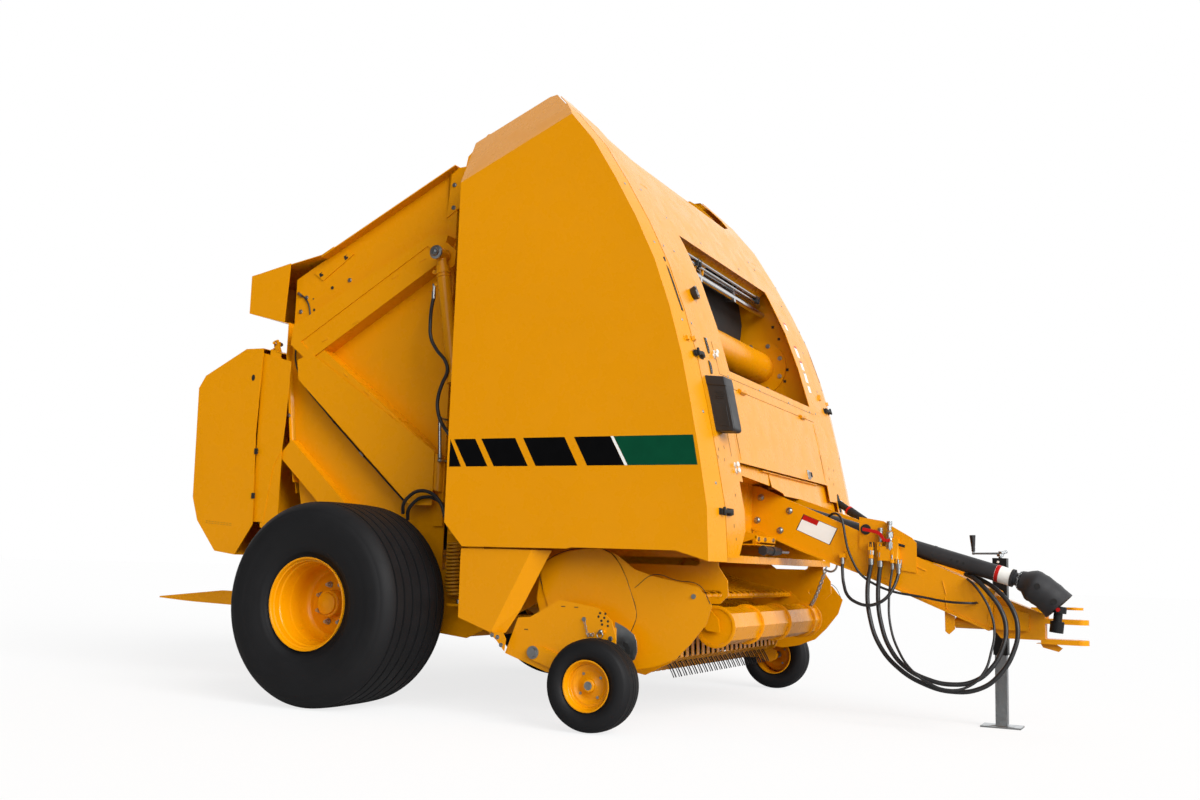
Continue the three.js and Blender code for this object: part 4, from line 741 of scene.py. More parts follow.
class BALER_OT_main_wheels(Maker, bpy.types.Operator):
    """Ribbed flotation tyres on deep dished rims"""

    bl_idname = "baler.main_wheels"
    bl_label = "Main wheels"

    def make(self, sizes):
        for side, sign in SIDES:
            body = f"main_wheel_{side}"
            centre = middle(f"main_{side}_tyre")
            out = Vector((0, sign, 0))
            bm = bmesh.new()
            half = tyre_profile()
            revolve(bm, [*half, *[(-w, r) for w, r in reversed(half[:-1])], half[0]], centre, out, 112)
            # Wear bars across the grooves, and rings of small moulded ribs on the outer wall.
            for k in range(24):
                a = math.tau * k / 24
                arm = Vector((math.cos(a), 0, math.sin(a)))
                for groove in (-0.135, -0.071, 0.0, 0.071, 0.135):
                    spot = centre + out * groove + arm * 0.4835
                    slab(
                        bm,
                        [spot + arm.cross(Y) * u + out * v - arm * 0.004 for u, v in ((-0.006, -0.005), (0.006, -0.005), (0.006, 0.005), (-0.006, 0.005))],
                        arm * 0.006,
                    )
            made = piece(f"main_tyre_{side}", bm, body, "tyre", smooth=38)
            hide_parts(f"main_{side}_tyre")
            bm = bmesh.new()
            revolve(bm, RIM_PROFILE, centre, out, 96)
            made = piece(f"main_rim_{side}", bm, body, "yellow", smooth=32)
            wall = made.modifiers.new("Steel thickness", "SOLIDIFY")
            wall.thickness = 0.004
            wall.offset = -1
            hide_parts(f"main_{side}_rim")
            self.fittings(side, body, centre, out)

    @staticmethod
    def fittings(side, body, centre, out):
        """Lug nuts, the hub cap's rings, the valve and the weld round the disc."""
        bm = bmesh.new()
        for k in range(8):
            a = math.tau * (k + 0.5) / 8
            arm = Vector((math.cos(a), 0, math.sin(a)))
            spot = centre + arm * 0.098 + out * 0.012
            rod(bm, spot - out * 0.002, spot + out * 0.01, 0.0165, 20, 0.015)
            rod(bm, spot + out * 0.008, spot + out * 0.024, 0.0135, 6, 0.0125)
            rod(bm, spot + out * 0.02, spot + out * 0.036, 0.008, 14)
        piece(f"lug_nuts_{side}", bm, body, "zinc")
        bm = bmesh.new()
        revolve(bm, [(0.01, 0.067), (0.019, 0.0665), (0.019, 0.06), (0.01, 0.06), (0.01, 0.067)], centre, out, 48)
        revolve(bm, [(0.07, 0.0605), (0.07, 0.064), (0.076, 0.064), (0.078, 0.06), (0.07, 0.06)], centre, out, 48)
        piece(f"hub_rings_{side}", bm, body, "yellow")
        bm = bmesh.new()
        stem = centre + Vector((0.186, 0, -0.03)) + out * 0.12
        rod(bm, stem - out * 0.02, stem + out * 0.028, 0.004, 12)
        rod(bm, stem + out * 0.026, stem + out * 0.04, 0.0055, 12)
        piece(f"tyre_valve_{side}", bm, body, "seal")


# ---------------------------------------------------------------- gauge wheels
class BALER_OT_gauge_wheels(Maker, bpy.types.Operator):
    """Small smooth tyres on pressed rims"""

    bl_idname = "baler.gauge_wheels"
    bl_label = "Gauge wheels"

    def make(self, sizes):
        for side, sign in SIDES:
            body = f"gauge_wheel_{side}"
            centre = middle(f"gauge_{side}_tyre")
            out = Vector((0, sign, 0))
            half = [
                (0.057, 0.1048), (0.06, 0.114), (0.064, 0.119), (0.07, 0.1235), (0.0765, 0.133), (0.0815, 0.146),
                (0.0822, 0.156), (0.08, 0.17), (0.0745, 0.183), (0.0735, 0.185), (0.064, 0.194), (0.05, 0.199),
                (0.048, 0.1975), (0.044, 0.1975), (0.042, 0.2003), (0.016, 0.2026), (0.014, 0.1985), (0.008, 0.1985),
                (0.006, 0.2028), (0.0, 0.2028),
            ]
            bm = bmesh.new()
            revolve(bm, [*half, *[(-w, r) for w, r in reversed(half[:-1])], half[0]], centre, out, 72)
            made = piece(f"gauge_tyre_{side}", bm, body, "tyre", smooth=38)
            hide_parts(f"gauge_{side}_tyre")
            bm = bmesh.new()
            revolve(bm, [
                (-0.07, 0.112), (-0.069, 0.106), (-0.057, 0.1045), (0.057, 0.1045), (0.068, 0.1055), (0.0712, 0.11),
                (0.0705, 0.1125), (0.069, 0.112), (0.068, 0.108), (0.06, 0.103), (0.048, 0.1), (0.046, 0.0975),
                (0.03, 0.0955), (0.027, 0.092), (0.026, 0.08), (0.02, 0.072), (0.016, 0.064), (0.016, 0.056),
                (0.022, 0.044), (0.025, 0.034), (0.03, 0.028), (0.042, 0.026), (0.044, 0.0235), (0.0445, 0.02),
                (0.0445, 0.0),
            ], centre, out, 72)
            made = piece(f"gauge_rim_{side}", bm, body, "yellow", smooth=32)
            wall = made.modifiers.new("Steel thickness", "SOLIDIFY")
            wall.thickness = 0.003
            wall.offset = -1
            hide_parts(f"gauge_{side}_rim")
            bm = bmesh.new()
            rod(bm, centre + out * 0.0435, centre + out * 0.0475, 0.019, 24)
            rod(bm, centre + out * 0.0465, centre + out * 0.052, 0.014, 6)
            for k in range(4):
                a = math.tau * (k + 0.4) / 4
                spot = centre + Vector((math.cos(a), 0, math.sin(a))) * 0.06 + out * 0.015
                rod(bm, spot, spot + out * 0.007, 0.0075, 6, 0.007)
            piece(f"gauge_nuts_{side}", bm, body, "zinc")


# ---------------------------------------------------------------- details seated on the frame's surfaces
TREES = {}


def surface_tree(node):
    """A search tree over a frame node's faces."""
    if node not in TREES:
        mesh = frame["nodes"][node].data
        TREES[node] = BVHTree.FromPolygons([v.co for v in mesh.vertices], [list(p.vertices) for p in mesh.polygons])
    return TREES[node]


def seat(nodes, start, direction, up=Z):
    """A frame whose Z stands out of the first surface met from start, with Y as near to up as it goes and X level."""
    best = None
    for node in nodes:
        place, normal, _, distance = surface_tree(node).ray_cast(start, Vector(direction).normalized())
        if place is not None and (best is None or distance < best[2]):
            best = (place, normal, distance)
    if best is None:
        raise ValueError(f"nothing to seat on from {tuple(round(c, 3) for c in start)}")
    place, normal, _ = best
    if normal.dot(direction) > 0:
        normal = -normal
    side = up.cross(normal).normalized()
    turn = Matrix((side, normal.cross(side), normal)).transposed().to_4x4()
    return Matrix.Translation(place) @ turn


def placed(bm, turn, build, *values):
    """Builds a detail on its own axes and sets it in place."""
    before = len(bm.verts)
    build(bm, *values)
    bm.verts.ensure_lookup_table()
    bmesh.ops.transform(bm, matrix=turn, verts=bm.verts[before:])


FRONT = ("front_cover", "access_door", "side_shield_left", "side_shield_right", "driveline_shroud")


def on_front(y, z, nodes=FRONT):
    """A seat on the machine's front at a width and height."""
    return seat(nodes, at(3.2, y, z), -X)


def on_side(x, z, node, sign, reach=1.6):
    """A seat on a side panel, from outside."""
    return seat((node,), at(x, sign * reach, z), Vector((0, -sign, 0)))


def screw_head(bm, size):
    """A flanged button head with a hexagon socket."""
    rod(bm, (0, 0, -0.0008), (0, 0, 0.0012), size * 1.15, 16)
    revolve(
        bm,
        [
            (0.001, 0), (0.001, size * 0.9), (size * 0.35, size * 0.75), (size * 0.52, size * 0.4),
            (size * 0.52, size * 0.32), (size * 0.25, size * 0.3), (size * 0.25, 0),
        ],
        Vector(), Z, 12,
    )


def square_hole(bm, width, height):
    """A dark block that stands for a punched slot: painted shade in its recess."""
    block(bm, (-width / 2, -height / 2, -0.0006), (width / 2, height / 2, 0.0004))


def rubber_latch(bm, turned_over=1):
    """A rubber draw latch: base, tongue, keeper and T-shaped grip."""
    s = turned_over
    for low, high in (
        ((-0.05, -0.014, 0), (-0.022, 0.014, 0.018)), ((0.02, -0.012, 0), (0.044, 0.012, 0.013)),
        ((-0.04, -0.0085, 0.012), (0.036, 0.0085, 0.021)), ((0.026, -0.019, 0.014), (0.038, 0.019, 0.024)),
        ((-0.06, -0.017, 0), (-0.016, 0.017, 0.004)), ((0.014, -0.015, 0), (0.05, 0.015, 0.003)),
    ):
        a, b = Vector((s * low[0], low[1], low[2])), Vector((s * high[0], high[1], high[2]))
        verts = block(bm, [min(p, q) for p, q in zip(a, b)], [max(p, q) for p, q in zip(a, b)])
        edges = {e for v in verts for e in v.link_edges}
        bmesh.ops.bevel(bm, geom=list(edges), offset=0.002, affect="EDGES", segments=2, profile=0.5, material=-1)


def rope_button(bm):
    """A turned plastic button that a cord runs round."""
    revolve(
        bm,
        [
            (0, 0), (0, 0.012), (0.004, 0.0125), (0.006, 0.0075), (0.013, 0.007), (0.015, 0.0125), (0.019, 0.0125),
            (0.0225, 0.008), (0.0235, 0),
        ],
        Vector(), Z, 24,
    )


def pressed_bracket(bm):
    """A small pressed bracket with a raised loop."""
    block(bm, (-0.02, -0.013, 0), (0.02, 0.013, 0.002))
    slab(
        bm,
        [Vector((-0.012, -0.01, z)) for z in (0.0015,)] + [
            Vector((-0.008, -0.01, 0.013)), Vector((0.008, -0.01, 0.013)), Vector((0.012, -0.01, 0.0015)),
        ],
        Vector((0, 0.02, 0)),
    )


class BALER_OT_shields(Maker, bpy.types.Operator):
    """Stripes, screws, a bracket and a dark slot of the side shields"""

    bl_idname = "baler.shields"
    bl_label = "Side shields"

    STRIPE = (1.306, 1.173)  # heights of the stripe's top and bottom edge
    FILM = 0.0004

    def film(self, bm, node, sign, corners):
        """A piece of film laid on a shield."""
        places = []
        for x, z in corners:
            turn = on_side(x, z, node, sign)
            places.append(turn.translation + turn.to_3x3() @ Vector((0, 0, 0.0002)))
        slab(bm, places, Vector((0, sign * self.FILM, 0)))

    def make(self, sizes):
        top, low = self.STRIPE
        blocks = (
            ((0.634, 0.753), (0.712, 0.83)), ((0.787, 0.973), (0.865, 1.049)), ((1.016, 1.235), (1.091, 1.309)),
            ((1.285, 1.47), (1.359, 1.546)),
        )
        for side, sign in SIDES:
            node, body = f"side_shield_{side}", f"side_shield_{side}"
            bm = bmesh.new()
            self.film(bm, node, sign, [(0.612, top), (0.682, low), (0.614, low)])
            for (a, b), (c, d) in blocks:
                self.film(bm, node, sign, [(a, top), (b, top), (d, low), (c, low)])
            piece(f"stripe_black_{side}", bm, body, "stripe")
            bm = bmesh.new()
            self.film(bm, node, sign, [(1.471, top), (1.485, top), (1.562, low), (1.547, low)])
            piece(f"stripe_white_{side}", bm, body, "white")
            bm = bmesh.new()
            self.film(bm, node, sign, [(1.486, top), (1.872, top), (1.898, low), (1.563, low)])
            piece(f"stripe_green_{side}", bm, body, "green")
            bm = bmesh.new()
            for y, z in ((1.15, 2.222), (1.15, 1.845), (1.15, 2.52), (1.15, 1.42), (1.15, 1.1)):
                placed(bm, on_front(sign * y, z, (node,)), screw_head, sizes.screw * 0.8)
            piece(f"shield_screws_{side}", bm, body, "zinc")
            bm = bmesh.new()
            turn = on_front(sign * 1.16, 1.69, (node,))
            placed(bm, turn @ Matrix.Translation((0, 0.07, 0)), pressed_bracket)
            piece(f"shield_bracket_{side}", bm, body, "yellow", bevel=0.0006)
            # Long dark slot beside the front flange, drawn as a dark strip: painted shade in the opening.
            bm = bmesh.new()
            places = [on_front(sign * y, z, (node,)) @ Vector((0, 0, 0.0006)) for y, z in ((1.119, 2.156), (1.133, 2.15), (1.133, 2.02), (1.133, 1.895), (1.119, 1.889), (1.119, 2.02))]
            slab(bm, places, Vector((0.0012, 0, 0.0003)))
            piece(f"shield_slot_{side}", bm, body, "seal")


def gauge_dial(bm, part):
    """A round pressure gauge: its case, its bezel or its face."""
    if part == "case":
        revolve(
            bm,
            [
                (-0.006, 0), (-0.006, 0.02), (0.0, 0.028), (0.018, 0.0335), (0.028, 0.0335), (0.028, 0.029),
                (0.0255, 0.0285), (0.0255, 0),
            ],
            Vector(), Z, 40,
        )
    elif part == "bezel":
        revolve(
            bm,
            [
                (0.0235, 0.0336), (0.029, 0.0336), (0.03, 0.0325), (0.03, 0.0295), (0.027, 0.0288), (0.027, 0.028),
                (0.0235, 0.028), (0.0235, 0.0336),
            ],
            Vector(), Z, 40,
        )
    elif part == "marks":
        for k in range(13):
            a = math.radians(225 - 22.5 * k)
            long = 0.0055 if k % 3 == 0 else 0.003
            arm = Vector((math.cos(a), math.sin(a), 0))
            rod(bm, arm * (0.0255 - long) + Z * 0.0262, arm * 0.0255 + Z * 0.0262, 0.0006, 4)
        rod(bm, Vector((-0.004, 0.002, 0.0268)), Vector((0.016, -0.008, 0.0268)), 0.0009, 4, 0.0004)
        rod(bm, Vector((0, 0, 0.0256)), Vector((0, 0, 0.0275)), 0.0025, 12)
    else:
        rod(bm, Vector((0, 0, 0.025)), Vector((0, 0, 0.0259)), 0.0275, 36)


class BALER_OT_front(Maker, bpy.types.Operator):
    """Gauge, latches, document box, cord buttons, window trim and labels of the front cover"""

    bl_idname = "baler.front"
    bl_label = "Front cover"

    def make(self, sizes):
        cover = ("front_cover",)
        self.gauge(cover)
        bm = bmesh.new()
        placed(bm, on_front(-1.09, 1.693) @ Matrix.Rotation(math.pi, 4, "Z"), rubber_latch)
        placed(bm, on_front(-1.11, 0.976) @ Matrix.Rotation(math.pi, 4, "Z"), rubber_latch)
        placed(bm, on_front(1.06, 1.697), rubber_latch)
        placed(bm, on_front(1.09, 0.976), rubber_latch)
        piece("cover_latches", bm, "chassis", "seal")
        bm = bmesh.new()
        for y, z in ((-0.863, 1.722), (-0.842, 1.742), (-0.883, 1.203), (-0.877, 1.176)):
            placed(bm, on_front(y, z, cover), rope_button)
        piece("cord_buttons", bm, "chassis", "knob")
        bm = bmesh.new()
        for y, z in ((-1.095, 1.765), (0.965, 1.765), (0.985, 1.78)):
            placed(bm, on_front(y, z, FRONT), pressed_bracket)
        piece("cover_brackets", bm, "chassis", "yellow", bevel=0.0006)
        bm = bmesh.new()
        screws = [
            (-1.06, 2.225), (-0.922, 2.234), (-1.06, 1.845), (-0.9, 1.8), (0.745, 2.542), (0.715, 2.227), (0.7, 2.582),
            (0.974, 1.812), (0.787, 1.899), (-0.745, 2.46), (-0.3, 2.44), (0.3, 2.44), (0.8, 2.05), (0.78, 1.65),
            (-0.95, 2.55), (0.95, 2.35), (0.95, 2.05), (-0.72, 1.645), (-0.25, 1.645), (0.25, 1.645), (0.66, 1.645),
        ]
        for y, z in screws:
            placed(bm, on_front(y, z, cover), screw_head, sizes.screw * 0.75)
        piece("cover_screws", bm, "chassis", "zinc")
        self.slots(cover)
        self.document_holder(cover)
        self.window_trim(cover)
        self.labels(cover)

    @staticmethod
    def gauge(cover):
        turn = on_front(-0.905, 2.02, cover) @ Matrix.Rotation(math.radians(12), 4, "Y")
        for part, name, slot, finish in (
            ("case", "gauge_case", "plastic", "plastic"), ("bezel", "gauge_bezel", "steel", "steel"),
            ("face", "gauge_face", "plastic", "knob"), ("marks", "gauge_marks", "plastic", "seal"),
        ):
            bm = bmesh.new()
            placed(bm, turn, gauge_dial, part)
            piece(name, bm, "chassis", finish)

    @staticmethod
    def slots(cover):
        """Punched slots and the seams between the cover's sheets, as dark marks of painted shade."""
        bm = bmesh.new()
        for y, z, w, h in (
            (-1.064, 1.258, 0.006, 0.016), (-0.984, 1.275, 0.006, 0.016), (-1.09, 1.222, 0.006, 0.016), (-1.01, 1.215, 0.006, 0.016),
            (-1.0, 0.977, 0.006, 0.018), (-1.0, 0.918, 0.006, 0.018), (0.813, 1.327, 0.006, 0.016), (0.917, 1.325, 0.006, 0.016),
            (0.774, 1.265, 0.006, 0.016), (0.85, 1.238, 0.006, 0.016), (-0.98, 0.86, 0.008, 0.012), (-0.94, 1.06, 0.008, 0.012),
        ):
            placed(bm, on_front(y, z, cover), square_hole, w, h)
        # Dark lines across the cover just below the window, and down both side strips: painted shade in the seams
        # between the sheets.
        for a, b, count in (
            ((-0.84, 1.64), (0.74, 1.64), 6), ((-0.902, 1.62), (-0.902, 1.24), 8), ((-0.84, 1.64), (-0.84, 1.8), 3),
        ):
            for i in range(count):
                p = [a[k] + (b[k] - a[k]) * i / count for k in (0, 1)]
                q = [a[k] + (b[k] - a[k]) * (i + 1) / count for k in (0, 1)]
                start, end = on_front(*p, cover) @ Vector((0, 0, 0.0002)), on_front(*q, cover) @ Vector((0, 0, 0.0002))
                rod(bm, start, end, 0.0011, 4)
        piece("cover_slots", bm, "chassis", "seal")

    @staticmethod
    def document_holder(cover):
        """The lidded box for papers: rounded body, lid, rib marks on its side, and the strip it hangs from."""
        y0, y1 = -1.056, -0.946
        body = ((1.846, 1.572), (1.948, 1.56), (1.994, 1.352), (1.985, 1.34), (1.903, 1.342), (1.893, 1.352))
        lid = ((1.838, 1.602), (1.94, 1.592), (1.952, 1.545), (1.85, 1.556))
        bm = bmesh.new()
        plate(bm, body, y0 + 0.004, y1 - 0.004)
        plate(bm, lid, y0, y1)
        made = piece("document_case", bm, "chassis", "plastic", bevel=0.009, segments=4)
        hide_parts("document_box")
        bm = bmesh.new()
        for k in range(4):
            z = 1.525 - 0.01 * k
            plate(bm, ((1.9, z), (1.942, z - 0.003), (1.943, z - 0.006), (1.901, z - 0.003)), y0 + 0.0015, y0 + 0.006)
        plate(bm, ((1.893, 1.47), (1.95, 1.463), (1.974, 1.362), (1.914, 1.368)), y0 + 0.0025, y0 + 0.006)
        piece("document_case_ribs", bm, "chassis", "plastic", bevel=0.001)
        # The cover's opening is drawn as a dark D-shaped sheet, painted shade in the opening; the hanger is a black
        # strip.
        for name, y, z, wide, tall in (
            ("cover_opening", -0.925, 1.762, 0.019, 0.04), ("case_hanger", -0.955, 1.652, 0.019, 0.032),
        ):
            turn = on_front(y, z, cover)
            bm = bmesh.new()
            slab(
                bm,
                [Vector((-wide * 0.6, -tall, 0.0003))] + [
                    Vector(
                        (wide * math.cos(a), tall * math.sin(a), 0.0003)
                    ) for a in (math.radians(-75 + 15 * k) for k in range(11))
                ] + [Vector((-wide * 0.6, tall, 0.0003))],
                Vector((0, 0, 0.0025)),
            )
            placed_all(bm, turn)
            piece(name, bm, "chassis", "seal")
            bm = bmesh.new()
            for k in range(5):
                spot = Vector((0.002, tall * (0.7 - 0.35 * k), 0.0028))
                rod(bm, spot, spot + Z * 0.0008, 0.003, 10)
            placed_all(bm, turn)
            piece(name + "_holes", bm, "chassis", "zinc")

    @staticmethod
    def window_trim(cover):
        """Bright guide rods on black guides under the window's top edge, and the ledge's fold."""
        half = 0.665
        bm = bmesh.new()
        for x, z, r in ((1.512, 2.34, 0.008), (1.5, 2.318, 0.008)):
            rod(bm, at(x, -half, z), at(x, half, z), r, 16)
        piece("window_guide_rods", bm, "chassis", "steel")
        bm = bmesh.new()
        for y in (-0.66, -0.34, -0.3, 0.62, 0.655):
            block(bm, at(1.49, y - 0.007, 2.31), at(1.52, y + 0.007, 2.35))
        piece("window_rod_guides", bm, "chassis", "seal", bevel=0.002)
        bm = bmesh.new()
        for y in (-0.44, -0.33, -0.22):
            plate(bm, [(1.47, 2.345), (1.506, 2.35), (1.5, 2.285), (1.48, 2.262), (1.462, 2.3)], y - 0.004, y + 0.004)
            block(bm, at(1.468, y - 0.028, 2.33), at(1.504, y + 0.028, 2.336))
        piece("roller_scrapers", bm, "chassis", "yellow", bevel=0.0008)
        # Weld collar and ring of bolts where the tension tube meets the walls.
        bm = bmesh.new()
        centre_x, centre_z = 1.48, 1.94
        for k in range(8):
            a = math.tau * (k + 0.5) / 8
            for sign in (-1, 1):
                bolt(
                    bm, at(centre_x + 0.142 * math.cos(a), sign * 0.7836, centre_z + 0.142 * math.sin(a)), (0, -sign, 0),
                    0.012,
                )
        piece("tension_tube_bolts", bm, "chassis", "zinc")
        # Holes in the wall drawn as dark squares: painted shade in the openings.
        bm = bmesh.new()
        for x, z in ((1.6, 2.115), (1.62, 1.985), (1.655, 1.925), (1.64, 1.855), (1.56, 2.19)):
            block(bm, at(x - 0.008, 0.7945, z - 0.008), at(x + 0.008, 0.7965, z + 0.008))
        piece("wall_holes", bm, "chassis", "seal")
        bm = bmesh.new()
        ledge = seat(cover, at(1.79, 0, 1.9), -Z)
        block(bm, at(1.7, -0.676, ledge.translation.z - 0.0004), at(1.706, 0.676, ledge.translation.z + 0.001))
        piece("ledge_fold", bm, "chassis", "yellow")

    @staticmethod
    def labels(cover):
        """Blank labels on the far side strip."""
        bm = bmesh.new()
        for y, z, wide, tall in (
            (0.78, 2.185, 0.04, 0.05), (0.8, 2.03, 0.05, 0.075), (0.8, 1.945, 0.05, 0.06), (0.8, 1.87, 0.05, 0.06),
            (0.8, 1.8, 0.05, 0.04), (0.955, 1.1, 0.04, 0.1),
        ):
            turn = on_front(y, z, cover)
            patch = bmesh.new()
            block(patch, (-wide / 2, -tall / 2, 0.0003), (wide / 2, tall / 2, 0.0009))
            join_into(bm, patch, turn)
        piece("cover_labels", bm, "chassis", "white")
        bm = bmesh.new()
        for y, z, wide in ((0.8, 2.06, 0.048), (0.8, 1.968, 0.048), (0.78, 2.203, 0.038)):
            turn = on_front(y, z, cover)
            patch = bmesh.new()
            block(patch, (-wide / 2, -0.006, 0.0008), (wide / 2, 0.006, 0.0013))
            join_into(bm, patch, turn)
        piece("cover_label_bands", bm, "chassis", "red")


def placed_all(bm, turn):
    """Sets everything built so far in place."""
    bmesh.ops.transform(bm, matrix=turn, verts=bm.verts)


def join_into(bm, other, turn):
    """Adds another bmesh in place and frees it."""
    bmesh.ops.transform(other, matrix=turn, verts=other.verts)
    held = bpy.data.meshes.new("held")
    other.to_mesh(held)
    other.free()
    bm.from_mesh(held)
    bpy.data.meshes.remove(held)


class BALER_OT_door(Maker, bpy.types.Operator):
    """Folded edges and latch of the access door, the cover plate under it and the coupling stored beside it"""

    bl_idname = "baler.door"
    bl_label = "Access door"

    def make(self, sizes):
        door = ("access_door",)
        bm = bmesh.new()
        turn = on_front(0.349, 1.255, door)
        local = bmesh.new()
        block(local, (-0.022, -0.026, 0), (0.022, 0.026, 0.004))
        block(local, (-0.01, -0.02, 0.003), (0.012, 0.014, 0.014))
        join_into(bm, local, turn)
        piece("door_latch", bm, "access_door", "zinc", bevel=0.0012)
        bm = bmesh.new()
        local = bmesh.new()
        block(local, (-0.006, -0.016, 0.013), (0.006, 0.01, 0.02))
        join_into(bm, local, turn)
        piece("door_latch_key", bm, "access_door", "seal", bevel=0.001)
        # Pressed stiffening lines near the door's ends.
        bm = bmesh.new()
        for y in (-0.775, 0.675):
            for i in range(7):
                z0, z1 = 1.235 + 0.049 * i, 1.235 + 0.049 * (i + 1)
                start, end = (on_front(y, z, door) @ Vector((0, 0, -0.001)) for z in (z0, z1))
                rod(bm, start, end, 0.003, 8)
        piece("door_folds", bm, "access_door", "yellow")
        # Cover plate over the driveline under the door, leaning a little forward, and its infill to the near leg.
        bm = bmesh.new()
        lean = lambda z: 1.906 + (1.2215 - z) * 0.288
        outline = (
            (-0.315, 1.2215), (0.553, 1.2215), (0.553, 1.05), (0.145, 1.062), (0.138, 1.106), (-0.138, 1.106),
            (-0.15, 1.118), (-0.315, 1.14),
        )
        slab(bm, [at(lean(z), y, z) for y, z in outline], Vector((0.003, 0, 0.0008)))
        piece("driveline_cover", bm, "chassis", "yellow", bevel=0.0008)
        bm = bmesh.new()
        outline = ((-0.8, 1.2215), (-0.318, 1.2215), (-0.318, 1.145), (-0.8, 1.168))
        slab(bm, [at(1.9045 + (1.2215 - z) * 0.2, y, z) for y, z in outline], Vector((0.003, 0, 0.0008)))
        outline = ((0.556, 1.2205), (0.856, 1.2205), (0.856, 0.905), (0.2, 0.905), (0.2, 1.055), (0.556, 1.042))
        slab(bm, [at(1.9035 + (1.2215 - z) * 0.2, y, z) for y, z in outline], Vector((0.003, 0, 0.0008)))
        piece("driveline_cover_infill", bm, "chassis", "yellow", bevel=0.0008)
        # Oval opening on the far side, drawn as a dark sheet of painted shade, and the coupling stored in it.
        bm = bmesh.new()
        turn = on_front(0.895, 1.13, ("front_cover",))
        slab(
            bm,
            [
                turn @ Vector(
                    (0.03 * math.cos(a), 0.055 * math.sin(a), 0.0004)
                ) for a in (math.tau * k / 24 for k in range(24))
            ],
            Vector((0.0012, 0, 0)),
        )
        low = turn.translation
        rod(bm, low, low + Vector((0.08, -0.04, -0.05)), 0.019, 24)
        rod(bm, low + Vector((0.075, -0.037, -0.047)), low + Vector((0.17, -0.085, -0.105)), 0.025, 24)
        piece("stored_coupling", bm, "chassis", "seal")
        bm = bmesh.new()
        rod(bm, low + Vector((0.066, -0.033, -0.041)), low + Vector((0.076, -0.038, -0.048)), 0.0262, 24)
        piece("stored_coupling_ring", bm, "chassis", "red")


# ---------------------------------------------------------------- tailgate
def weld_bead(bm, start, end, radius=0.0035):
    """A short fillet bead with rounded ends."""
    rod(bm, start, end, radius, 8)
    for spot in (start, end):
        bmesh.ops.create_icosphere(bm, subdivisions=2, radius=radius, matrix=Matrix.Translation(spot))


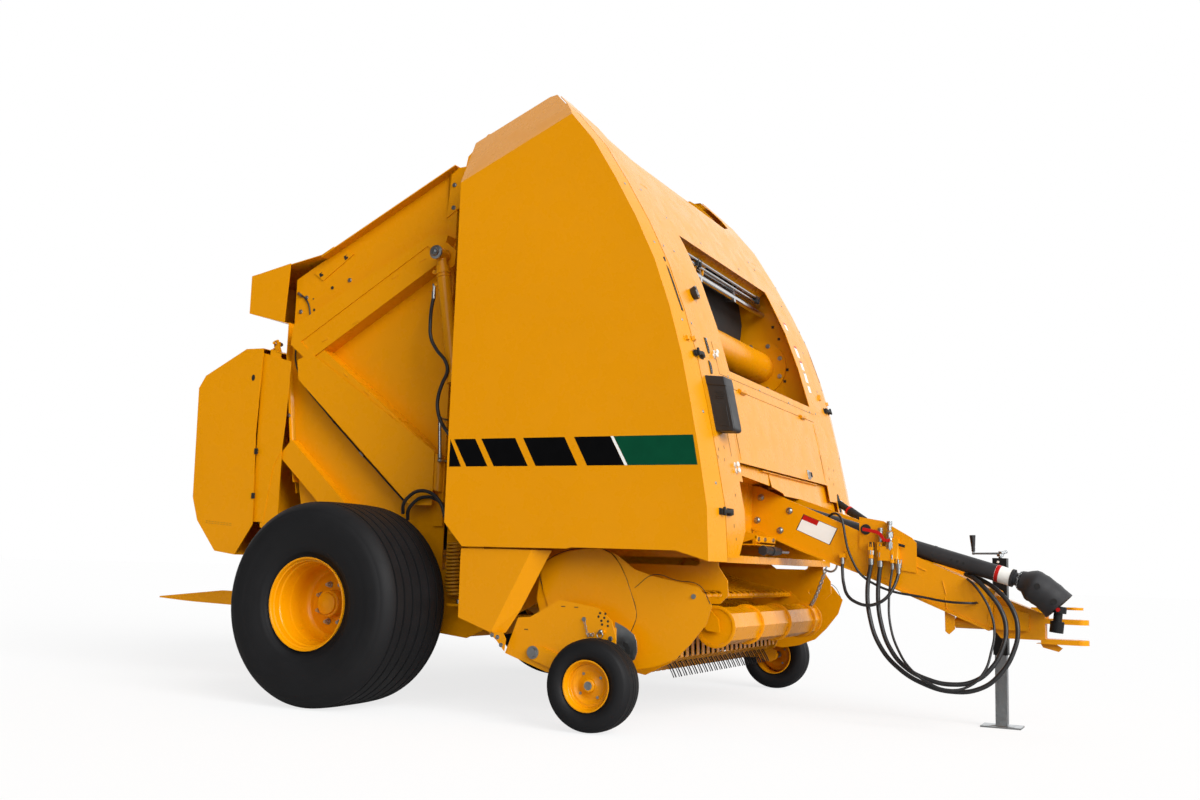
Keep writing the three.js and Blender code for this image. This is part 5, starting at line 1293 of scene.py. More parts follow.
class BALER_OT_tailgate(Maker, bpy.types.Operator):
    """Bolts, weld beads, cylinder pins, hoses, wiring and gas struts of the tailgate"""

    bl_idname = "baler.tailgate"
    bl_label = "Tailgate"

    PLATE = 0.809  # outer face of the tailgate's side sheet

    def make(self, sizes):
        for side, sign in SIDES:
            self.fasteners(side, sign)
            self.welds(side, sign)
            self.cylinder(side, sign)
            self.wiring(side, sign)

    def fasteners(self, side, sign):
        node = f"tailgate_side_{side}"
        bm = bmesh.new()
        for x, z in (
            (0.286, 2.741), (0.287, 2.614), (-0.7, 2.19), (-0.735, 2.11), (-0.765, 1.76), (-0.735, 1.505), (-0.4, 2.27),
        ):
            turn = on_side(x, z, node, sign)
            bolt(bm, turn.translation, (0, sign, 0), 0.011)
        piece(f"tailgate_bolts_{side}", bm, "tailgate", "zinc")
        outline = ((-0.653, 2.328), (-0.428, 2.444), (-0.377, 2.417), (-0.585, 2.279))
        outer = max(abs(on_side(x * 0.9 + 0.1 * -0.51, z * 0.9 + 0.1 * 2.367, node, sign).translation.y) for x, z in outline)
        bm = bmesh.new()
        plate(bm, outline, sign * outer, sign * (outer + 0.006))
        piece(f"tailgate_doubler_{side}", bm, "tailgate", "yellow", bevel=0.001)
        # Square and round holes drawn as dark patches: painted shade in the openings.
        bm = bmesh.new()
        along = Vector((0.888, 0, 0.46))
        up = Vector((-0.46, 0, 0.888))
        for x, z in ((-0.6, 2.316), (-0.432, 2.403)):
            spot = at(x, sign * (outer + 0.0062), z)
            slab(
                bm,
                [
                    spot - along * 0.012 - up * 0.012, spot + along * 0.012 - up * 0.012, spot + along * 0.012 + up * 0.012,
                    spot - along * 0.012 + up * 0.012,
                ],
                Vector((0, sign * 0.0006, 0)),
            )
        for x, z, r in (
            (-0.52, 2.235, 0.01), (-0.64, 2.115, 0.008), (-0.655, 2.055, 0.007), (-0.65, 2.18, 0.005),
            (-0.735, 1.935, 0.009),
        ):
            turn = on_side(x, z, node, sign)
            rod(bm, turn.translation, turn.translation + Vector((0, sign * 0.0012, 0)), r, 16)
        piece(f"tailgate_holes_{side}", bm, "tailgate", "seal")
        bm = bmesh.new()
        for x, z in ((-0.595, 2.318), (-0.427, 2.405)):
            spot = at(x, sign * (outer + 0.0066), z)
            slab(
                bm, [spot, spot + along * 0.008, spot + along * 0.008 + up * 0.008, spot + up * 0.008],
                Vector((0, sign * 0.0012, 0)),
            )
        piece(f"tailgate_clip_tabs_{side}", bm, "tailgate", "yellow")
        # Broad web of the lower brace, and the net housing's side web.
        bm = bmesh.new()
        plate(
            bm, ((-0.56, 1.845), (-0.655, 1.81), (-0.64, 1.7), (-0.61, 1.672), (0.15, 1.005), (0.29, 1.005), (0.29, 1.285)),
            sign * 0.896, sign * 0.9,
        )
        piece(f"brace_web_{side}", bm, "tailgate", "yellow", bevel=0.0008)
        bm = bmesh.new()
        plate(
            bm,
            (
                (-0.925, 1.868), (-0.715, 1.806), (-0.728, 1.47), (-0.742, 1.307), (-0.795, 1.22), (-0.845, 0.905),
                (-0.925, 0.905),
            ),
            sign * 0.8765, sign * 0.8795,
        )
        piece(f"net_housing_web_{side}", bm, "tailgate", "yellow", bevel=0.0008)

    def welds(self, side, sign):
        node = f"tailgate_side_{side}"
        bm = bmesh.new()
        lines = (
            (((-0.47, 1.915), (-0.265, 2.002), (-0.113, 2.066), (0.039, 2.125), (0.157, 2.171)), (0.925, 0.38)),
            (((-0.321, 1.714), (-0.171, 1.61), (0.004, 1.478), (0.197, 1.346)), (0.8, -0.6)),
            (((-0.247, 2.146), (-0.025, 2.239), (0.15, 2.318)), (0.92, 0.39)),
        )
        for spots, (dx, dz) in lines:
            for x, z in spots:
                ends = []
                for t in (-0.02, 0.02):
                    turn = on_side(x + dx * t, z + dz * t, node, sign)
                    ends.append(turn.translation)
                if abs(ends[0].y - ends[1].y) < 0.004:
                    weld_bead(bm, *ends)
        piece(f"tailgate_welds_{side}", bm, "tailgate", "yellow")

    @staticmethod
    def cylinder(side, sign):
        barrel = f"cylinder_barrel_{side}"
        top, foot = at(0.307, sign * 0.95, 2.323), at(0.52, sign * 0.95, 1.1)
        along = (foot - top).normalized()
        bm = bmesh.new()
        outer = sign * Y
        base = top + outer * 0.0465
        revolve(
            bm,
            [(0, 0), (0, 0.037), (0.004, 0.038), (0.01, 0.036), (0.013, 0.024), (0.022, 0.0235), (0.026, 0.021), (0.026, 0)],
            base, outer, 40,
        )
        bolt(bm, base + outer * 0.026, outer, 0.011)
        piece(f"cylinder_pin_cap_{side}", bm, "tailgate", "zinc")
        bm = bmesh.new()
        for distance, wide, long in ((0.098, 0.04, 0.012), (0.12, 0.04, 0.008), (0.655, 0.0425, 0.01)):
            rod(bm, top + along * distance, top + along * (distance + long), wide, 40)
        block_at = top + along * 0.165 - X * 0.04
        rod(bm, block_at + X * 0.012, block_at - X * 0.018, 0.011, 16)
        piece(f"cylinder_bands_{side}", bm, barrel, "yellow", bevel=0.001)
        elbow = block_at - X * 0.01
        bm = bmesh.new()
        rod(bm, elbow, elbow - X * 0.02, 0.0095, 6)
        rod(bm, elbow - X * 0.014 + Z * 0.004, elbow - X * 0.014 - Z * 0.04, 0.0085, 6)
        rod(bm, elbow - X * 0.014 - Z * 0.036, elbow - X * 0.014 - Z * 0.075, 0.011, 20)
        piece(f"cylinder_elbow_{side}", bm, barrel, "zinc", bevel=0.0008)
        start = elbow - X * 0.014 - Z * 0.07
        y = sign * 0.999
        line = [start, start - Z * 0.035 + outer * 0.01, at(0.292, y, 1.95), at(0.3, y, 1.87), at(0.341, y, 1.8), at(0.395, y, 1.742), at(0.412, y, 1.69),
                at(0.385, y, 1.625), at(0.364, y, 1.56), at(0.364, y, 1.49), at(0.392, y, 1.42), at(0.44, y, 1.362), at(0.462, sign * 0.985, 1.33)]
        wires(f"cylinder_hose_{side}", [line], 0.0095, barrel, "hose", sides=3)
        bm = bmesh.new()
        rod(bm, at(0.455, sign * 0.988, 1.342), at(0.478, sign * 0.976, 1.318), 0.0115, 16)
        piece(f"cylinder_hose_end_{side}", bm, barrel, "zinc")
        # Gas strut beside it.
        bm = bmesh.new()
        low, high = at(0.313, sign * 0.88, 1.252), at(0.301, sign * 0.88, 1.448)
        rod(bm, low, high, 0.0095, 20)
        piece(f"tailgate_strut_{side}", bm, "tailgate", "steel")
        bm = bmesh.new()
        for spot in (low - Z * 0.012, high + Z * 0.012):
            bmesh.ops.create_icosphere(bm, subdivisions=3, radius=0.0125, matrix=Matrix.Translation(spot))
            rod(bm, spot, Vector((spot.x, sign * 0.803, spot.z)), 0.006, 12)
        rod(bm, low, low + (high - low) * 0.1, 0.0115, 16)
        piece(f"tailgate_strut_ends_{side}", bm, "tailgate", "zinc")

    def wiring(self, side, sign):
        node = f"tailgate_side_{side}"
        route = [(-0.755, 2.217), (-0.7, 2.18), (-0.666, 2.107), (-0.668, 2.05), (-0.705, 1.985), (-0.742, 1.918), (-0.75, 1.85), (-0.729, 1.777), (-0.68, 1.695),
                 (-0.612, 1.62), (-0.53, 1.545), (-0.445, 1.465), (-0.34, 1.372), (-0.234, 1.277), (-0.16, 1.215), (-0.093, 1.155), (0.044, 1.036)]
        line = []
        for x, z in route:
            turn = on_side(x, z, node, sign)
            line.append(turn.translation + Vector((0, sign * 0.0052, 0)))
        # The wire bridges steps in the surface with a gentle rise.
        for _ in range(2):
            depth = [p.y * sign for p in line]
            for i in range(1, len(line) - 1):
                line[i].y = sign * max(depth[i], (depth[i - 1] + depth[i + 1]) / 2 - 0.01)
        wires(f"tailgate_wire_{side}", [line], 0.0045, "tailgate", "hose", sides=1)
        bm = bmesh.new()
        for i in (1, 5, 11, 13):
            way = (line[i + 1] - line[i - 1]).normalized()
            rod(bm, line[i] - way * 0.006, line[i] + way * 0.006, 0.0062, 12)
        piece(f"tailgate_wire_clips_{side}", bm, "tailgate", "seal")
        bm = bmesh.new()
        way = (line[1] - line[0]).normalized()
        rod(bm, line[0] - way * 0.004, line[0] + way * 0.03, 0.0085, 12)
        way = (line[13] - line[12]).normalized()
        rod(bm, line[13] - way * 0.03, line[13] + way * 0.005, 0.0075, 12)
        piece(f"tailgate_wire_plugs_{side}", bm, "tailgate", "zinc")


class BALER_OT_net_box(Maker, bpy.types.Operator):
    """Hinges, hand hole and pressings of the net box"""

    bl_idname = "baler.net_box"
    bl_label = "Net box"

    def make(self, sizes):
        # The hand holes are dark ellipses: painted shade in the openings.
        bm = bmesh.new()
        for side, sign in SIDES:
            turn = on_side(-0.965, 1.722, "net_cover", sign)
            local = bmesh.new()
            bmesh.ops.create_circle(
                local, cap_ends=True, segments=24, radius=0.012,
                matrix=Matrix.Translation((0, 0, 0.0005)) @ Matrix.Diagonal((1, 1.5, 1, 1)),
            )
            bmesh.ops.solidify(local, geom=local.faces[:], thickness=-0.0005)
            join_into(bm, local, turn)
        piece("net_cover_holes", bm, "net_cover", "seal")
        # Vent slots drawn in darker amber: painted shade in the louvres.
        bm = bmesh.new()
        for side, sign in SIDES:
            for k in range(9):
                for row in (0, 1):
                    turn = on_side(-1.235 + 0.022 * k, 0.905 - 0.01 * row - 0.0015 * k, "net_cover", sign)
                    local = bmesh.new()
                    block(local, (-0.0085, -0.0025, 0.0001), (0.0085, 0.0025, 0.0006))
                    join_into(bm, local, turn)
        piece("net_cover_vents", bm, "net_cover", "amber")
        bm = bmesh.new()
        for side, sign in SIDES:
            for y in (0.798, 0.816):
                place = at(-0.885, sign * (y + (0.012 if y > 0.8 else -0.022)), 1.93)
                bolt(bm, place, (0, sign if y > 0.8 else -sign, 0), 0.01)
        piece("net_cover_hinge_bolts", bm, "tailgate", "zinc")
        bm = bmesh.new()
        for side, sign in SIDES:
            for z in (1.3, 1.05):
                block(bm, [min(p, q) for p, q in zip(at(-0.918, sign * 0.898, z - 0.016), at(-0.895, sign * 0.904, z + 0.016))],
                      [max(p, q) for p, q in zip(at(-0.918, sign * 0.898, z - 0.016), at(-0.895, sign * 0.904, z + 0.016))])
        piece("net_cover_catches", bm, "net_cover", "seal", bevel=0.001)


# ---------------------------------------------------------------- lift springs and hoses over the wheels
class BALER_OT_springs(Maker, bpy.types.Operator):
    """Coil springs that carry the pickup, and the hoses beside them"""

    bl_idname = "baler.springs"
    bl_label = "Lift springs"

    def make(self, sizes):
        for side, sign in SIDES:
            node = f"lift_spring_{side}"
            axis_x, axis_y = middle(node)[0], middle(node)[1]
            low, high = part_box(node)[0][2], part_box(node)[1][2]
            radius, wire, turns = 0.0365, sizes.spring_wire / 2, sizes.spring_turns
            z0, z1 = 0.546, 0.814
            line = [
                Vector((axis_x, axis_y, low + 0.004)), Vector((axis_x, axis_y, z0 - 0.016)),
                Vector((axis_x + radius * 0.6, axis_y, z0 - 0.008)),
            ]
            steps = turns * 12
            for k in range(steps + 1):
                a = math.tau * k / 12
                line.append(
                    Vector((axis_x + radius * math.cos(a), axis_y + radius * math.sin(a), z0 + (z1 - z0) * k / steps))
                )
            for p in line[2:]:
                p.x -= 0.035 * min(1, (p.z - z0 + 0.02) / 0.06)
            line += [
                Vector((axis_x - 0.012, axis_y, z1 + 0.01)), Vector((axis_x, axis_y, z1 + 0.02)),
                Vector((axis_x, axis_y, high - 0.004)),
            ]
            wires(node + "_coil", [line], wire, "chassis", "amber", sides=1)
            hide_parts(node)
            bm = bmesh.new()
            rod(bm, (axis_x, axis_y, low + 0.0004), (axis_x, axis_y, low + 0.02), 0.011, 16)
            rod(bm, (axis_x, axis_y, high - 0.02), (axis_x, axis_y, high - 0.0004), 0.011, 16)
            piece(f"spring_ends_{side}", bm, "chassis", "zinc")
            y = sign * 0.95
            hose = [
                at(0.13, sign * 0.925, 0.96), at(0.15, y, 1.01), at(0.185, y, 1.05), at(0.234, y, 1.074),
                at(0.317, y, 1.064), at(0.38, y, 1.01), at(0.405, y, 0.95), at(0.42, sign * 0.93, 0.89),
            ]
            second = [p + Vector((0.018, sign * -0.02, -0.03)) for p in hose]
            wires(f"wheel_hoses_{side}", [hose, second], 0.0095, "chassis", "hose", sides=3)


# ---------------------------------------------------------------- pickup
class BALER_OT_pickup_sides(Maker, bpy.types.Operator):
    """Rounded side sheets, fasteners, gauge-arm fittings and the folded side boxes"""

    bl_idname = "baler.pickup_sides"
    bl_label = "Pickup sides"

    DIVIDER = 1.099  # outer face of the crop divider
    ARM = 1.19  # outer face of the gauge arm's cover

    def make(self, sizes):
        for side, sign in SIDES:
            self.side_sheet(side, sign)
            self.arm_fittings(side, sign)
            self.side_box(side, sign)

    def side_sheet(self, side, sign):
        outline = (
            (1.075, 0.6), (1.054, 0.707), (1.11, 0.75), (1.196, 0.784), (1.29, 0.799), (1.374, 0.801), (1.426, 0.778), (1.464, 0.738),
            (1.5, 0.675), (1.526, 0.611), (1.557, 0.522), (1.555, 0.484), (1.518, 0.405), (1.48, 0.33), (1.3, 0.33), (1.14, 0.44),
        )
        bm = bmesh.new()
        plate(bm, outline, sign * self.DIVIDER, sign * (self.DIVIDER + 0.007))
        piece(f"pickup_side_sheet_{side}", bm, "pickup", "yellow", bevel=0.0015)
        # Dark lines along the sheets' edges: painted shade in the gaps.
        lines = (
            (outline[5:13], 0.0032), (((1.545, 0.628), (1.637, 0.69), (1.75, 0.668), (1.862, 0.648), (1.912, 0.57)), 0.0006),
            (((1.074, 0.6), (1.054, 0.707), (1.11, 0.752), (1.196, 0.788), (1.29, 0.803), (1.374, 0.805)), 0.0032),
        )
        wires(
            f"pickup_gap_shade_{side}", [[at(x, sign * (self.DIVIDER + rise), z) for x, z in line] for line, rise in lines],
            0.0016, "pickup", "seal", sides=0,
        )
        bm = bmesh.new()
        bolt(bm, at(1.832, sign * (self.DIVIDER + 0.0002), 0.6), (0, sign, 0), 0.01)
        piece(f"divider_bolt_{side}", bm, "pickup", "zinc")

    def arm_fittings(self, side, sign):
        face = self.ARM
        out = Vector((0, sign, 0))
        bm = bmesh.new()
        pivot = at(1.085, sign * face, 0.318)
        rod(bm, pivot + out * 0.0095, pivot + out * 0.0125, 0.03, 32)
        rod(bm, pivot + out * 0.011, pivot + out * 0.0235, 0.0215, 6)
        bolt(bm, at(1.338, sign * (face + 0.0002), 0.48), out, 0.009)
        bolt(bm, at(1.474, sign * (face + 0.0002), 0.4), out, 0.01)
        dome(bm, at(1.43, sign * (face + 0.0142), 0.429), out, 0.011, 0.008)
        ring = [
            at(
                1.43 + 0.014 * math.cos(a), sign * (face + 0.02), 0.415 + 0.014 * math.sin(a),
            ) for a in (math.tau * k / 8 for k in range(8))
        ]
        piece(f"arm_bolts_{side}", bm, "pickup", "zinc")
        wires(f"arm_pin_ring_{side}", [ring], 0.0022, "pickup", "zinc", sides=1, cyclic=True)
        links = []
        for k in range(9):
            spot = Vector((1.345 + 0.0035 * k, 0, 0.468 - 0.0115 * k)) if k < 6 else Vector(
                (1.362 + 0.009 * (k - 5), 0, 0.411 + 0.001 * (k - 5))
            )
            flat = k % 2 == 0
            wide = X if flat else out * 0.8
            links.append(
                [
                    at(
                        spot.x, sign * (face + 0.0065), spot.z,
                    ) + wide * 0.0042 * math.cos(a) + Z * 0.0085 * math.sin(a) for a in (math.tau * n / 6 for n in range(6))
                ]
            )
        wires(f"arm_pin_chain_{side}", links, 0.0013, "pickup", "zinc", sides=1, cyclic=True)
        # Holes in the arm's cover drawn as dark discs and bars: painted shade in the openings.
        bm = bmesh.new()
        for x, z in (
            (1.411, 0.495), (1.426, 0.477), (1.44, 0.491), (1.418, 0.511), (1.445, 0.509), (1.43, 0.461), (1.459, 0.456),
            (1.459, 0.476),
        ):
            rod(bm, at(x, sign * face, z), at(x, sign * (face + 0.0006), z), 0.0058, 14)
        for x, z in ((1.23, 0.533), (1.297, 0.532), (1.04, 0.42)):
            block(bm, [min(p, q) for p, q in zip(at(x - 0.01, sign * face, z - 0.002), at(x + 0.01, sign * (face + 0.0006), z + 0.002))],
                  [max(p, q) for p, q in zip(at(x - 0.01, sign * face, z - 0.002), at(x + 0.01, sign * (face + 0.0006), z + 0.002))])
        piece(f"arm_holes_{side}", bm, "pickup", "seal")
        # Lock lever over the wheel, with its curved slot.
        bm = bmesh.new()
        lever = (
            (1.492, 0.476), (1.545, 0.452), (1.586, 0.424), (1.6, 0.395), (1.604, 0.35), (1.594, 0.318), (1.562, 0.294),
            (1.496, 0.318),
        )
        plate(bm, lever, sign * (face - 0.0075), sign * (face - 0.0045))
        piece(f"arm_lever_{side}", bm, "pickup", "zinc", bevel=0.0008)
        # The lever's curved slot is a dark plate: painted shade in the opening.
        bm = bmesh.new()
        slot = (
            (1.536, 0.392), (1.556, 0.384), (1.568, 0.366), (1.57, 0.34), (1.558, 0.33), (1.55, 0.342), (1.546, 0.362),
            (1.534, 0.374),
        )
        plate(bm, slot, sign * (face - 0.0046), sign * (face - 0.004))
        piece(f"arm_lever_slot_{side}", bm, "pickup", "seal")

    def side_box(self, side, sign):
        """The folded box behind the gauge wheel: a flat side, a slanted front facet and a rear return."""
        node = f"lower_side_box_{side}"
        low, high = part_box(node)
        outer = max(abs(low[1]), abs(high[1])) - 0.0004
        inner = min(abs(low[1]), abs(high[1])) + 0.0004
        side_face = [
            (0.7035, 0.785), (0.7015, 0.745), (0.7035, 0.461), (0.871, 0.404), (0.886, 0.403), (1.08, 0.772), (1.086, 0.785),
        ]
        front_edge = [(0.94, 0.4), (1.017, 0.512), (1.142, 0.742), (1.168, 0.785)]
        bm = bmesh.new()
        thick = 0.004
        plate(bm, side_face, sign * (outer - thick), sign * outer)
        turned = [at(x, sign * (outer - 0.045), z) for x, z in front_edge]
        fold = [at(0.886, sign * outer, 0.403), at(1.08, sign * outer, 0.772), at(1.086, sign * outer, 0.785)]
        for corners in (
            [fold[0], turned[0], turned[1]], [fold[0], turned[1], turned[2], fold[1]],
            [fold[1], turned[2], turned[3], fold[2]],
        ):
            slab(bm, corners, Vector((-0.001, -sign * thick, 0)))
        plate(
            bm, ((0.862, 0.404), (0.945, 0.402), (0.962, 0.372), (0.955, 0.318), (0.912, 0.365)), sign * (outer - 0.014),
            sign * (outer - 0.01),
        )
        rear = sorted((sign * (inner + 0.0), sign * (outer - 0.001)))
        plate(bm, [(0.7025, 0.782), (0.7015, 0.745), (0.703, 0.463), (0.707, 0.463), (0.7055, 0.745), (0.7065, 0.782)], *rear)
        y0, y1 = rear
        block(bm, at(0.703, y0, 0.781), at(1.0, y1, 0.7846))
        made = piece(f"side_box_{side}", bm, "chassis", "yellow")
        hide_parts(node)
        bm = bmesh.new()
        for x, z in ((0.888, 0.388), (0.918, 0.38), (0.938, 0.345)):
            bolt(bm, at(x, sign * (outer - 0.0098), z), (0, sign, 0), 0.009)
        piece(f"side_box_bolts_{side}", bm, "chassis", "zinc")


class BALER_OT_reel(Maker, bpy.types.Operator):
    """Tined reel, windguard roll and windguard rods"""

    bl_idname = "baler.reel"
    bl_label = "Reel and windguard"

    def make(self, sizes):
        self.reel(sizes)
        self.roll()
        self.rods(sizes)

    @staticmethod
    def reel(sizes):
        """The reel's core with its bars, and the double tines on each bar."""
        centre = middle("pickup_reel")
        x, z = centre[0], centre[2]
        half, bar_circle, bars, count = 0.757, 0.1, 4, sizes.tine_pairs
        pitch = 1.4 / (count - 1)
        bm = bmesh.new()
        rod(bm, (x, -half - 0.012, z), (x, half + 0.012, z), 0.0445, 32)
        for y in (-half, 0.0, half):
            rod(bm, (x, y - 0.0035, z), (x, y + 0.0035, z), bar_circle + 0.014, 32)
        tines = []
        for k in range(bars):
            angle = math.tau * k / bars + 0.72
            place = lambda radius, lag, y: Vector((x + radius * math.cos(angle - lag), y, z + radius * math.sin(angle - lag)))
            rod(bm, place(bar_circle, 0, -half), place(bar_circle, 0, half), 0.0115, 16)
            for i in range(count):
                y = (i - (count - 1) / 2) * pitch
                for s in (-1, 1):
                    root = [
                        place(bar_circle + 0.009, -0.11, y + s * 0.002), place(bar_circle + 0.016, 0.0, y + s * 0.008),
                        place(bar_circle + 0.016, 0.08, y + s * 0.0135),
                    ]
                    tines.append(
                        root + [
                            place(0.135, 0.085, y + s * 0.0145), place(0.185, 0.105, y + s * 0.0145),
                            place(0.2105, 0.125, y + s * 0.0145),
                        ]
                    )
        made = piece("reel_core", bm, "pickup_reel", "black")
        tine = wires("reel_tines", tines, sizes.tine_wire / 2, "pickup_reel", "black", sides=0)
        tine.data.resolution_u = 2
        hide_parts("pickup_reel")

    @staticmethod
    def roll():
        """The windguard's faceted roll between its discs."""
        low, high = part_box("windguard_roller")
        x, z = middle("windguard_roller")[0], middle("windguard_roller")[2]
        y0, y1 = low[1] + 0.003, high[1] - 0.003
        bm = bmesh.new()
        revolve(bm, [(0, 0.016), (0, 0.089), (y1 - y0, 0.089), (y1 - y0, 0.016), (0, 0.016)], Vector((x, y0, z)), Y, 8)
        for share in (-1, -0.42, 0.2, 0.82, 0.99):
            y = share * (y1 - y0) / 2
            rim = [
                (-0.003, 0.084), (-0.003, 0.096), (-0.0015, 0.0995), (0.0015, 0.0995), (0.003, 0.096), (0.003, 0.084),
                (-0.003, 0.084),
            ]
            revolve(bm, rim, Vector((x, y, z)), Y, 48)
        made = piece("windguard_roll", bm, "windguard_roller", "yellow", smooth=25)
        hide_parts("windguard_roller")

    @staticmethod
    def rods(sizes):
        """Thin rods that slant back and up from the windguard's tube."""
        lines = []
        count, span = sizes.guard_rods, 1.408
        for i in range(count):
            y = (i / (count - 1) - 0.5) * span
            lines.append(
                [
                    at(1.706, y, 0.59), at(1.69, y, 0.606), at(1.64, y, 0.618), at(1.45, y, 0.655), at(1.29, y, 0.7),
                    at(1.255, y, 0.706),
                ]
            )
        wires("windguard_rods", lines, 0.0048, "windguard", "yellow", sides=1)


class BALER_OT_pickup_front(Maker, bpy.types.Operator):
    """Chain and hook of the windguard at the front of the pickup"""

    bl_idname = "baler.pickup_front"
    bl_label = "Pickup front"

    def make(self, sizes):
        links = []
        start, end = at(1.812, 0.72, 0.5), at(1.921, 0.72, 0.747)
        count = 22
        for k in range(count):
            t = k / (count - 1)
            spot = start.lerp(end, t) - Z * 0.03 * math.sin(math.pi * t)
            way = (end - start).normalized()
            wide = way.cross(Z).normalized() if k % 2 else way.cross(way.cross(Z)).normalized()
            links.append(
                [
                    spot + wide * 0.0085 * math.cos(a) + way * 0.0135 * math.sin(a) for a in (
                        math.tau * n / 8 for n in range(8)
                    )
                ]
            )
        wires("windguard_chain", links, 0.0026, "chassis", "zinc", sides=1, cyclic=True)
        wires(
            "windguard_hook",
            [[at(1.915, 0.72, 0.738), at(1.955, 0.72, 0.73), at(1.978, 0.72, 0.745), at(1.988, 0.72, 0.775)]], 0.006,
            "chassis", "zinc", sides=2,
        )


# ---------------------------------------------------------------- tongue, driveline and jack
def loft(bm, centres, radii, steps=40):
    """A skin through rings along a line of centres."""
    rings = []
    for i, centre in enumerate(centres):
        way = (centres[min(i + 1, len(centres) - 1)] - centres[max(i - 1, 0)]).normalized()
        turn = aim(centre, way)
        rings.append(
            [
                bm.verts.new(
                    turn @ Vector((radii[i] * math.cos(math.tau * k / steps), radii[i] * math.sin(math.tau * k / steps), 0))
                ) for k in range(steps)
            ]
        )
    for a, b in zip(rings, rings[1:]):
        for k in range(steps):
            bm.faces.new((a[k], a[(k + 1) % steps], b[(k + 1) % steps], b[k]))
    return rings


